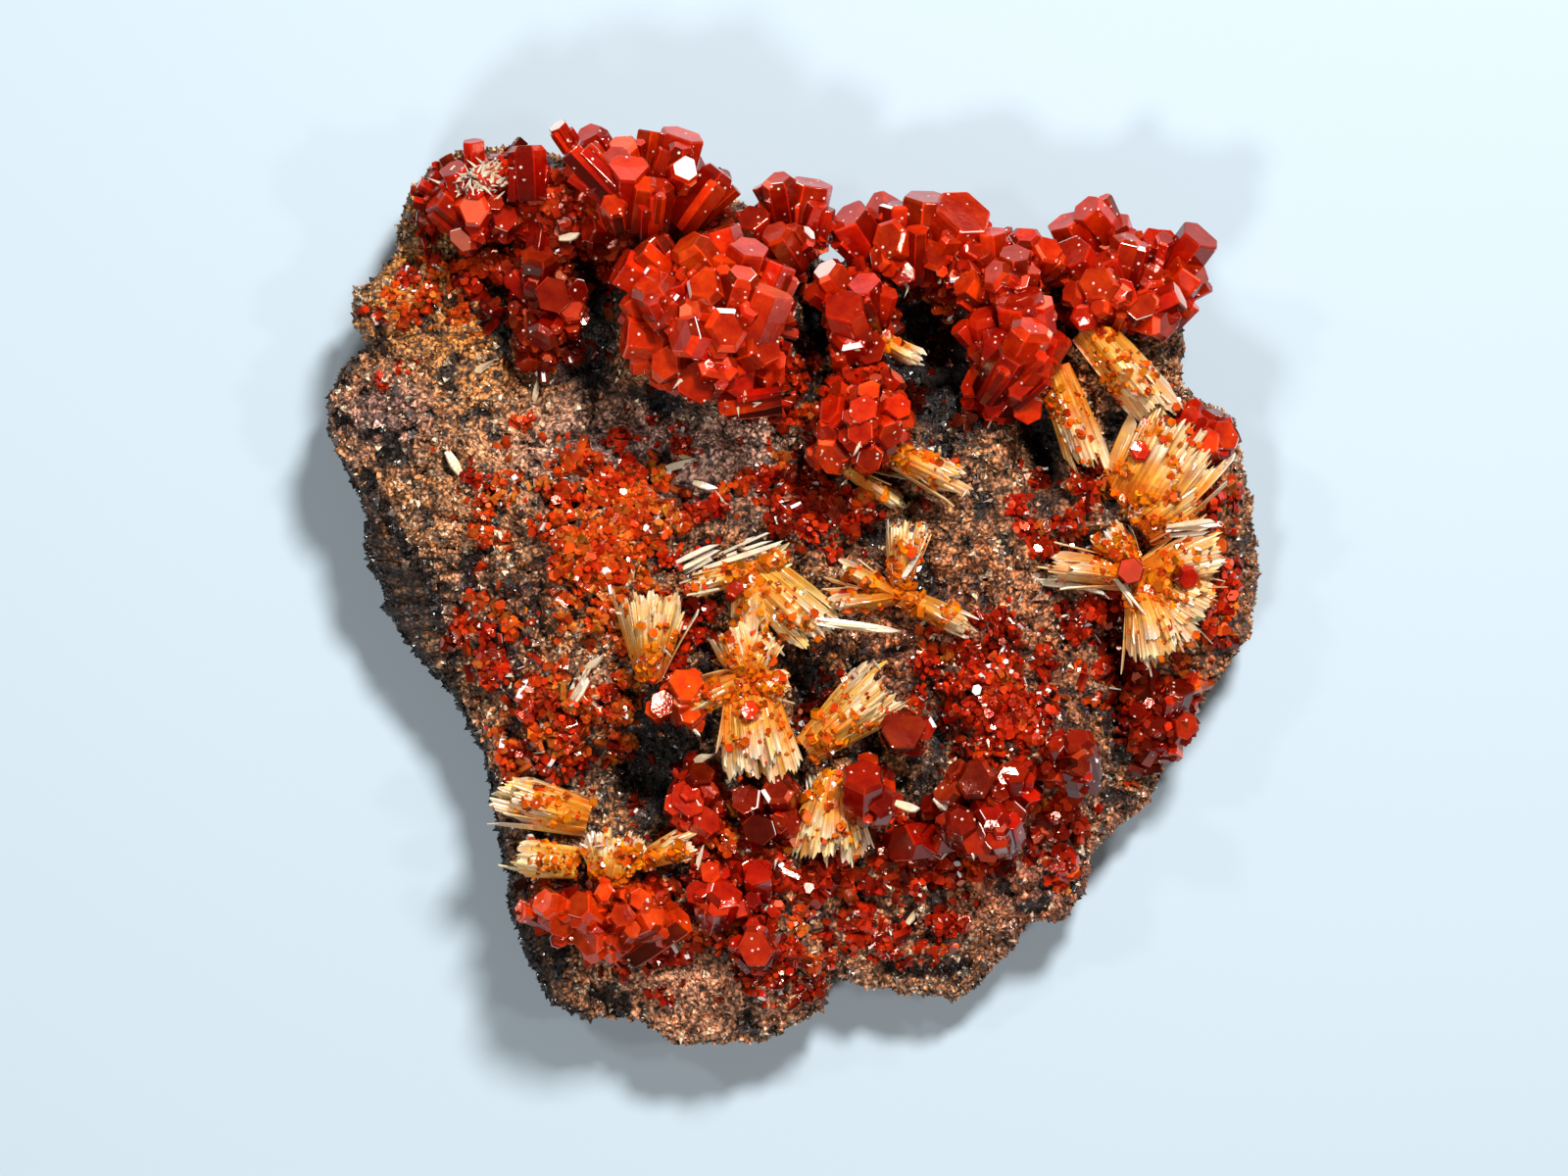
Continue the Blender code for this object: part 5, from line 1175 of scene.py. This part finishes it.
# barite
barite = {
    "white": (255, 244, 214),
    "cream": (255, 200, 88),
    "gold": (250, 142, 8),
    "rust": (226, 84, 4),
    "stain": (222, 96, 12),
    "thickness": 0.13,
    "bladeWidth": (0.16, 0.4),  # of the free blades, as a share of the fan's
    "dust": 50.0,  # small crystals for each ridge
    "perBlade": 1.3,  # thin blades for each ridge of the solid
    "column": 0.15,  # width of the fine lines at the tips
    "plate": 0.9,  # width of the plates that a spray's body is stepped in
    "roll": 14.0,  # how far the blades lean over each other, like louvres
    "tiers": ((-2.0, 1.0, 0.9), (8.0, 0.9, 0.7), (17.0, 0.74, 0.5)),  # extra rise, reach, width
    # white chips standing on what lies under them: x, y, length, width, turn
    "chips": (
        (-32.4, 22.0, 1.5, 0.8, 20.0), (-31.0, 22.8, 1.4, 0.6, 80.0), (-26.4, 19.0, 1.7, 0.6, 75.0),
        (-41.6, 18.8, 2.2, 0.7, 5.0), (-35.2, 13.8, 2.8, 1.0, -60.0), (-32.6, 9.8, 1.3, 0.8, 20.0),
        (-12.8, 12.0, 2.8, 0.8, 15.0), (-11.4, 13.4, 1.8, 0.6, -30.0), (-10.0, 10.6, 2.2, 0.7, -15.0),
        (-22.4, -11.6, 3.0, 1.1, 62.0), (-21.0, -8.4, 1.8, 0.8, 30.0), (-23.6, 35.4, 2.0, 0.8, 5.0),
        (12.0, -34.8, 2.6, 0.8, 52.0), (12.2, -41.2, 1.6, 0.7, 60.0), (-24.6, -43.2, 1.6, 0.5, -10.0),
        (4.6, -8.0, 1.8, 0.9, 40.0), (10.6, -22.0, 2.4, 0.9, -18.0), (-9.8, -18.0, 1.6, 0.9, 30.0),
        (-9.6, -29.0, 2.0, 0.5, 80.0), (14.6, -21.6, 1.8, 0.8, -40.0), (34.6, 7.0, 9.0, 1.2, 82.0),
        (38.0, 5.6, 5.2, 1.0, 8.0), (32.1, 2.4, 6.4, 0.8, -48.0), (24.8, 0.9, 7.6, 1.1, -8.0),
        (1.5, -19.0, 3.4, 0.6, -82.0), (2.5, -19.3, 3.4, 0.6, -77.0), (3.4, -19.6, 3.2, 0.6, -72.0),
        (-9.2, 1.8, 8.6, 1.0, 20.0), (-7.6, 3.2, 5.0, 0.8, 17.0), (-11.0, 1.8, 4.2, 1.3, 24.0),
        (-10.4, -0.6, 4.4, 0.8, 12.0), (2.8, -3.6, 8.0, 0.8, -4.0), (11.4, 0.8, 2.8, 0.7, 58.0),
        (8.6, 2.4, 3.6, 0.6, -35.0), (9.6, 1.6, 4.2, 0.6, -52.0),
    ),
    # flat red crystals grown on a fan: x, y, lift, radius, tilt to the left and towards the crest
    "discs": (
        (34.8, 1.5, 7.4, 1.5, 0.1, 0.1), (40.6, 0.8, 6.2, 1.4, -0.4, -0.3), (38.4, -4.0, 5.4, 0.8, 0.0, 0.2),
        (-5.6, -0.2, 6.6, 1.0, -0.2, 0.4), (-4.2, -12.6, 7.6, 1.1, 0.3, 0.2), (-1.2, -9.0, 6.4, 0.8, 0.0, 0.5),
        (35.6, 13.8, 6.4, 1.2, 0.0, 0.3), (38.2, 12.6, 6.2, 1.3, -0.3, 0.2), (-13.6, -4.4, 6.0, 0.9, 0.3, 0.3),
    ),
    "chipColour": (240, 228, 214),
    # patches of small white flakes: x, y, half length, half width, count
    "flakes": (
        (-31.2, 41.6, 2.8, 2.0, 90), (-8.0, 17.5, 5.0, 1.2, 14), (0.0, -2.0, 40.0, 36.0, 90),
        (-20.8, -9.5, 1.2, 2.2, 16),
    ),
    # root (x, y, height), width, gold from 0 to 1, the hub's half width as a share of the length, then sprays:
    # headings, ridges, start and end, rise
    "fans": {
        "right_fan": (
            (33.6, 5.0, 2.0), 7.0, 1.05, 0.28,
            (((32, 84), 7, (3.6, 14.2), 8), ((16, 60), 5, (2.4, 10.6), 2)),
        ),
        "lower_right_fan": (
            (35.6, 1.0, 3.0), 5.0, 1.0, 0.14,
            (((-100, -42), 5, (0.3, 10.0), 0), ((-60, 4), 4, (0.3, 8.8), 3), ((-6, 42), 4, (0.3, 9.4), 5),
             ((104, 150), 3, (0.3, 6.6), 4), ((162, 182), 2, (0.3, 11.0), 2)),
        ),
        "upper_right_sheaf": ((30.2, 26.8, 4.0), 6.0, 0.8, 0.2, (((-64, -36), 5, (0.3, 13.2), -6),)),
        "curved_sheaf": ((26.8, 22.6, 3.0), 5.0, 0.8, 0.2, (((-82, -56), 3, (0.3, 12.2), -2),)),
        "upper_middle_fan": (
            (-3.9, 1.6, 3.0), 5.0, 0.45, 0.26,
            (((182, 206), 3, (0.3, 7.4), 6), ((-64, -22), 5, (0.3, 10.6), 0), ((16, 34), 2, (0.3, 4.4), 12),
             ((-110, -66), 3, (0.3, 7.0), -4)),
        ),
        "left_fan": ((-14.4, -9.8, 3.0), 6.0, 0.95, 0.12, (((60, 114), 5, (0.3, 10.0), 22),)),
        "middle_fan": (
            (-4.5, -9.4, 4.5), 5.5, 0.9, 0.25,
            (((-106, -54), 5, (0.3, 11.2), 0), ((192, 219), 3, (0.3, 7.2), 6),
             ((84, 129), 3, (0.3, 5.8), 4), ((40, 84), 3, (0.3, 5.4), 6), ((-40, 10), 3, (0.3, 4.6), 8)),
        ),
        "spread_fan": (
            (10.9, -0.9, 2.5), 5.0, 0.85, 0.12,
            (((146, 160), 2, (0.3, 7.6), 14), ((178, 198), 2, (0.3, 8.2), 2),
             ((-36, -14), 3, (0.3, 9.0), 2), ((60, 102), 5, (0.3, 7.8), 18)),
        ),
        "slanting_fan": ((1.4, -16.9, 3.0), 5.5, 0.7, 0.14, (((20, 60), 5, (0.3, 12.6), 8),)),
        "hanging_fan": ((4.4, -18.8, 1.8), 4.6, 0.5, 0.15, (((-128, -60), 5, (0.3, 10.0), -6),)),
        "leaf_fan": ((-20.4, -23.8, 2.5), 5.0, 0.85, 0.2, (((148, 180), 3, (0.3, 10.6), 6),)),
        "edge_fan": ((-21.6, -28.4, 2.0), 4.4, 0.3, 0.25, (((156, 192), 3, (0.3, 7.8), 4),)),
        "lower_fan": ((-18.6, -30.6, 2.6), 4.6, 0.7, 0.2, (((36, 124), 6, (0.3, 6.0), 14),)),
        "low_wing": ((-15.4, -28.2, 2.0), 4.0, 0.9, 0.15, (((4, 36), 3, (0.3, 6.6), 8),)),
        "inner_blade": ((5.4, 12.4, 2.6), 3.6, 0.1, 0.1, (((-42, -28), 1, (0.3, 8.0), -8),)),
        "inner_fan": ((9.6, 14.0, 3.0), 4.6, 0.85, 0.15, (((-38, -12), 3, (0.3, 9.6), 0),)),
        "hollow_blade": ((8.6, 25.4, 6.5), 3.2, 0.8, 0.15, (((-40, -18), 1, (0.3, 6.0), -4),)),
    },
}


def growBlades(root, heading, rise, roll, reach, width, thickness, gold, rng):
    # a six-sided thin section carried along u = 0..1; half width = w (0.7 + 0.35 sin(pi u)) / 2, thickness
    # = t (0.6 + 0.5 u), and the end is cut on a slant, so that a fan ends in uneven steps
    count, stations = len(heading), 6
    u = np.linspace(0, 1, stations)
    start, end = reach
    side = np.array((-0.5, -0.5, 0.0, 0.5, 0.5, 0.0))
    upright = np.array((-0.9, 0.8, 1.0, 0.8, -0.9, -1.0))
    half = width[:, None] / 2 * (0.7 + 0.35 * np.sin(np.pi * u))
    half = half * (1 + rng.uniform(-0.1, 0.1, (count, stations)))
    thick = thickness[:, None] * (0.6 + 0.5 * u)
    slant = rng.uniform(-0.9, 0.9, count)
    along = start[:, None] + (end - start)[:, None] * u
    local = np.zeros((count, stations, 6, 3))
    local[..., 0] = along[..., None] + slant[:, None, None] * upright * (u**4)[None, :, None]
    bend = rng.normal(0, 0.3, count)
    local[..., 1] = thick[..., None] * side + (bend[:, None] * (u**2))[..., None]
    local[..., 2] = half[..., None] * upright
    c, s = np.cos(roll)[:, None, None], np.sin(roll)[:, None, None]
    y, z = local[..., 1] * c - local[..., 2] * s, local[..., 1] * s + local[..., 2] * c
    ch, sh, cr, sr = np.cos(heading), np.sin(heading), np.cos(rise), np.sin(rise)
    alongAxis = np.stack((ch * cr, sh * cr, sr), axis=-1)[:, None, None]
    acrossAxis = np.stack((-sh, ch, 0 * ch), axis=-1)[:, None, None]
    upAxis = np.cross(alongAxis, acrossAxis)
    points = root[:, None, None] + local[..., :1] * alongAxis
    points = points + y[..., None] * acrossAxis + z[..., None] * upAxis
    last = (stations - 1) * 6 + np.arange(6)
    faces = repeatFaces([ringFaces(stations, 6), last[None], np.arange(5, -1, -1)[None]], count, stations * 6)
    tint = bladeTint(gold + rng.normal(0, 0.3, count), rng.uniform(0.2, 1.0, count), u, rng)[:, :, None, :]
    edge = (0.35 * smoothStep(0.5, 1.0, upright))[:, None]
    edge = edge * rng.uniform(0.2, 1.0, count)[:, None, None, None]
    tint = tint * (1 - edge) + linear(barite["white"]) * edge
    return points.reshape(-1, 3), faces, tint.reshape(-1, 3), [np.ones(len(f)) for f in faces]


def bladeTint(tone, whiteness, u, rng):
    # each blade from rust at its root through its own gold or cream to white at its tip
    white, cream, goldTone, rust = (linear(barite[k]) for k in ("white", "cream", "gold", "rust"))
    tone = np.clip(tone, 0, 1)[:, None, None]
    body = cream + (goldTone - cream) * tone * (1 - 0.6 * u)[None, :, None]
    rootward = smoothStep(0.6, 0.0, u)[None, :, None] * 0.6 * tone
    tint = body * (1 - rootward) + rust * rootward
    tip = smoothStep(0.6, 1.0, u)[None, :, None] * whiteness[:, None, None]
    tint = tint * (1 - tip) + white * tip
    return np.clip(tint * rng.uniform(0.62, 1.1, len(tone))[:, None, None], 0, 1)


def fanLines(root, headings, spread, s):
    # for s from -1 to 1 across a spray: the heading, and a start on the hub's line across the middle heading
    middle, half = math.radians(sum(headings) / 2), math.radians(headings[1] - headings[0]) / 2
    across = np.array((-math.sin(middle), math.cos(middle), 0.0))
    return middle + half * s, root + spread * s[:, None] * across


def growSheet(root, headings, spread, rise, reach, width, gold, rng):
    # the solid body of a spray, in plates side by side: z = along * sin(rise) + width * (0.2 + 0.16
    # sin(pi u)) + (the plate's step + the line's groove) * (0.3 + 0.7 u) + 0.35 noise u. Each plate has its own
    # length, cut on a slant, and orange stains spread from the hub: 0.75 - 0.55 u^2, where two noises are high
    start, end = reach
    tipWidth = 2 * spread + end * math.radians(headings[1] - headings[0])
    columns, stations = max(6, int(tipWidth / barite["column"])), 7
    plates = max(2, round(tipWidth / barite["plate"]))
    s = np.linspace(-1, 1, columns)
    heading, hub = fanLines(root, headings, spread, s)
    u = np.linspace(0, 1, stations)
    place = np.clip((s + 1) / 2 * plates + 0.35 * np.sin(7 * s + plates), 0, plates - 0.01)
    plate, inside = place.astype(int), place % 1
    length = rng.uniform(0.8, 1.0, plates)
    slant, step = rng.uniform(-0.12, 0.12, plates), rng.uniform(-0.16, 0.16, plates)
    ragged = rng.uniform(-0.04, 0.03, columns)
    far = end * (length[plate] + slant[plate] * (inside - 0.5) + ragged - 0.18 * s**4)
    along = start + (far[:, None] - start) * u
    groove = (step[plate] + rng.uniform(-0.12, 0.12, columns))[:, None] * (0.3 + 0.7 * u)
    lift = width * (0.2 + 0.16 * np.sin(np.pi * u)) + groove - 0.25 * width * (s**4)[:, None]
    ch, sh = np.cos(heading)[:, None], np.sin(heading)[:, None]
    level = np.stack((along * ch, along * sh, along * math.sin(rise)), axis=-1)
    top = hub[:, None] + level + lift[..., None] * (0, 0, 1.0)
    x, y = top[..., 0], top[..., 1]
    top[..., 2] += 0.35 * smoothNoise(x, y, 1.7, 11) * u
    blotches = smoothNoise(x, y, 1.4, 9) + 0.6 * smoothNoise(x, y, 0.5, 10)
    stain = smoothStep(-0.1, 0.8, blotches) * (0.75 - 0.55 * u**2)
    under = top[:, [-1, 0]] - np.array([[0, 0, 0.3 * width], [0, 0, 0.15 * width]])
    points = np.concatenate((top, under), axis=1).reshape(-1, 3)
    ring = stations + 2
    ends = np.stack((np.arange(ring), (columns - 1) * ring + np.arange(ring)[::-1]))
    tone = gold + rng.normal(0, 0.18, plates)[plate] + rng.normal(0, 0.25, columns)
    whiteness = rng.uniform(0.2, 0.9, plates)[plate] + rng.uniform(-0.3, 0.3, columns)
    tint = bladeTint(tone, np.clip(whiteness, 0, 1), u, rng)
    # painted shade in the gaps between plates
    shadedGap = np.append(plate[1:] != plate[:-1], False)
    tint = tint * (0.92 - 0.2 * shadedGap)[:, None, None]
    tint = tint * (1 - stain[..., None]) + linear(barite["stain"]) * stain[..., None]
    # painted shade on the underside, at 0.4 of the top's colour
    tint = np.concatenate((tint, tint[:, [-1, 0]] * 0.4), axis=1).reshape(-1, 3)
    faces = [ringFaces(columns, ring)[:, ::-1], ends]
    return points, faces, tint, [np.ones(len(faces[0])), np.ones(2)]


def surfaceUnder(x, y):
    # the height of the topmost surface at each place, found by a ray from above
    bpy.context.view_layer.update()
    graph = bpy.context.evaluated_depsgraph_get()
    starts = np.stack((x, y, 0 * x + 80.0), axis=-1) * mm
    hits = [bpy.context.scene.ray_cast(graph, start, (0, 0, -1))[1][2] for start in starts]
    return np.array(hits) / mm


def buildFans(rng):
    # each spray has three tiers of plates and free blades, one above the other and each shorter; its headings
    # are drawn in so far that a hub of some width leaves its tips where the solid has them. Gives back where
    # small crystals sit: more at some distance from the root, and in clusters
    crumbs = []
    for name, (place, width, gold, hubShare, sprays) in barite["fans"].items():
        root = np.array(place, float)
        root[2] += float(broadHeight(root[0], root[1]))
        parts, tops = [], []
        for (first, last), ridges, (start, end), rise in sprays:
            spread = min(hubShare * end, 0.6 * end * math.radians(last - first) / 2 + 0.3)
            inset = math.degrees(spread / end)
            middle = (first + last) / 2
            for extra, reach, share in barite["tiers"]:
                lifted = math.radians(rise + extra)
                narrow = inset + (1 - share) * 0.25 * (last - first)
                headings = min(first + narrow, middle - 2), max(last - narrow, middle + 2)
                aside, body = spread * share, (start, end * reach)
                sheet = growSheet(root, headings, aside, lifted, body, width, gold, rng)
                parts.append(sheet)
                tops.append(sheet[0].reshape(-1, 9, 3)[:, :7].reshape(-1, 3))
                count = max(2, int(ridges * barite["perBlade"] * share))
                heading, hub = fanLines(root, headings, aside, np.linspace(-0.95, 0.95, count))
                heading = heading + np.radians(rng.normal(0, 4.0, count))
                rises = lifted + np.radians(rng.normal(0, 3.5, count))
                blade = np.full(count, start), end * reach * rng.uniform(0.7, 0.98, count)
                widths = width * share * rng.uniform(*barite["bladeWidth"], count)
                thick = barite["thickness"] * rng.uniform(0.6, 1.4, count)
                roll = np.radians(barite["roll"] + rng.normal(0, 16.0, count))
                parts.append(growBlades(hub, heading, rises, roll, blade, widths, thick, gold, rng))
        points, faces, tint, faceLight = joinParts(parts)
        ridge = np.concatenate(tops)
        near = np.hypot(*(ridge - root)[:, :2].T)
        chance = (0.3 + near**0.5) * np.exp(-((near / (0.6 * near.max())) ** 2))
        chance = chance * (1.1 + smoothNoise(ridge[:, 0], ridge[:, 1], 1.3, 8)) ** 3
        count = int(barite["dust"] * sum(spray[1] for spray in sprays))
        crumbs.append(ridge[rng.choice(len(ridge), count, p=chance / chance.sum())])
        piece = putMesh(name.replace("_", "-"), points, faces, bariteFinish, {"tint": tint, "faceLight": faceLight})
        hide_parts(name)
    return np.concatenate(crumbs)


def buildFanCrystals(places, rng):
    # small crystals on the fans, and larger flat discs where the table has them
    radii = 0.14 + 0.75 * rng.beta(0.9, 4.2, len(places))
    axes = unit(rng.normal(0, 0.55, places.shape) + (0, 0.2, 1.0))
    feet, tips = places - axes * radii[:, None] * 1.3, places + axes * radii[:, None] * 0.6
    points, faces, tint, facets = growSmall(feet, tips, radii, rng.uniform(0.4, 1.3, len(places)), rng)
    golden = np.repeat(0.8 * rng.beta(0.9, 0.9, len(places)), 12)[:, None]
    values = {"tint": tint * (1 - golden) + linear(barite["gold"]) * golden, "faceLight": np.concatenate(facets)}
    putMesh("fanCrystals", points, faces, smallVanadiniteFinish, values)
    x, y, lift, size, left, up = np.array(barite["discs"]).T
    tips = np.stack((x, y, broadHeight(x, y) + lift), axis=-1)
    axes = unit(np.stack((-left, up, np.ones(len(x))), axis=-1))
    points, faces, tint, facets = growCrystals(tips - axes * 2.2, tips, size, x, np.full(len(x), 0.3), rng)
    values = {"tint": tint, "faceLight": np.concatenate(facets)}
    putMesh("fanDiscs", points, faces, vanadiniteFinish, values)


def flakePatch(x, y, halfLength, halfWidth, count, rng):
    # rows like the chips': x, y, length, width, turn
    rows = rng.normal(x, halfLength / 2, count), rng.normal(y, halfWidth / 2, count)
    rows = *rows, rng.uniform(0.25, 0.7, count), rng.uniform(0.2, 0.45, count), rng.uniform(0, 360, count)
    rng.uniform(0.3, 1, count)  # one draw more, so that what is drawn after it stays the same
    return np.stack(rows, axis=-1)


def buildChips(rng):
    # white chips stand on whatever lies under them; each long one is three thin ones side by side
    chips = np.concatenate((barite["chips"], *(flakePatch(*row, rng) for row in barite["flakes"])))
    isLong = chips[:, 2] > 2.9
    x, y, length, width, turn = np.repeat(chips[isLong], 3, axis=0).T
    off = np.tile((-0.42, 0.0, 0.42), len(x) // 3) * width * rng.uniform(0.7, 1.2, len(x))
    ch, sh = np.cos(np.radians(turn)), np.sin(np.radians(turn))
    x, y = x - sh * off + ch * rng.uniform(-0.5, 0.5, len(x)), y + ch * off
    length, width = length * rng.uniform(0.75, 1.05, len(x)), width * rng.uniform(0.35, 0.6, len(x))
    thin = np.stack((x, y, length, width, turn + rng.normal(0, 3.5, len(x))), axis=-1)
    x, y, length, width, turn = np.concatenate((chips[~isLong], thin)).T
    inside = np.hypot(x, y) < rimRadius(np.arctan2(y, x)) - 1.2
    x, y, length, width, turn = x[inside], y[inside], length[inside], width[inside], turn[inside]
    count = len(x)
    foot = np.stack((x, y, surfaceUnder(x, y) - 0.05), axis=-1)
    turned = np.radians(turn), np.radians(rng.uniform(-4, 14, count)), np.radians(rng.uniform(62, 88, count))
    reach, thick = (np.zeros(count), length), width**0.5 * 0.45
    points, faces, tint, facets = growBlades(foot, *turned, reach, width, thick, -0.6, rng)
    grey = rng.uniform(0.35, 1.0, count).repeat(36)[:, None] * linear(barite["chipColour"])
    values = {"tint": tint * 0.35 + grey * 0.65, "faceLight": np.concatenate(facets)}
    putMesh("whiteChips", points, faces, bariteFinish, values)


bariteDraws = np.random.default_rng(51)
buildFanCrystals(buildFans(bariteDraws), bariteDraws)
buildChips(bariteDraws)
print("crystals ready")


# table, light and camera
def addLight(name, power, place, size, aim=(0.0, 0.0, 0.015)):
    light = bpy.data.lights.new(name, "AREA")
    light.energy, light.shape, light.size = power, "DISK", size
    lamp = bpy.data.objects.new(name, light)
    bpy.context.scene.collection.objects.link(lamp)
    lamp.location = place
    towards = np.array(aim) - np.array(place)
    lamp.rotation_euler = Vector(towards).to_track_quat("-Z", "Y").to_euler()
    return lamp


def buildStage():
    table, tree, principled = newFinish("tableFinish", {"Roughness": 0.7})
    principled.inputs["Base Color"].default_value = (*linear(stage["floorColour"]), 1)
    n = 24
    u, v = np.meshgrid(np.linspace(-1500, 1500, n), np.linspace(-1500, 1500, n), indexing="ij")
    index = np.arange(n * n).reshape(n, n)
    points = np.stack((u.ravel(), v.ravel(), np.full(n * n, -0.02)), axis=-1)
    floor = putMesh("table", points, [gridFaces(index)], table)
    for name, (power, place, size) in stage["lights"].items():
        addLight(name, power, place, size)
    world = bpy.data.worlds.new("studio")
    world.use_nodes = True
    world.node_tree.nodes["Background"].inputs["Color"].default_value = (1.0, 0.95, 0.88, 1)
    world.node_tree.nodes["Background"].inputs["Strength"].default_value = stage["worldLight"]
    bpy.context.scene.world = world
    lens = bpy.data.cameras.new("camera")
    lens.sensor_width = 36.0
    distance = stage["cameraHeight"] - stage["sharpHeight"] * mm
    lens.lens = 36.0 * distance / (stage["pictureWidth"] * mm)
    camera = bpy.data.objects.new("camera", lens)
    bpy.context.scene.collection.objects.link(camera)
    camera.location = (stage["lookAt"][0] * mm, stage["lookAt"][1] * mm, stage["cameraHeight"])
    bpy.context.scene.camera = camera
    bpy.context.scene.view_settings.view_transform = "Standard"


buildStage()
print("stage ready")
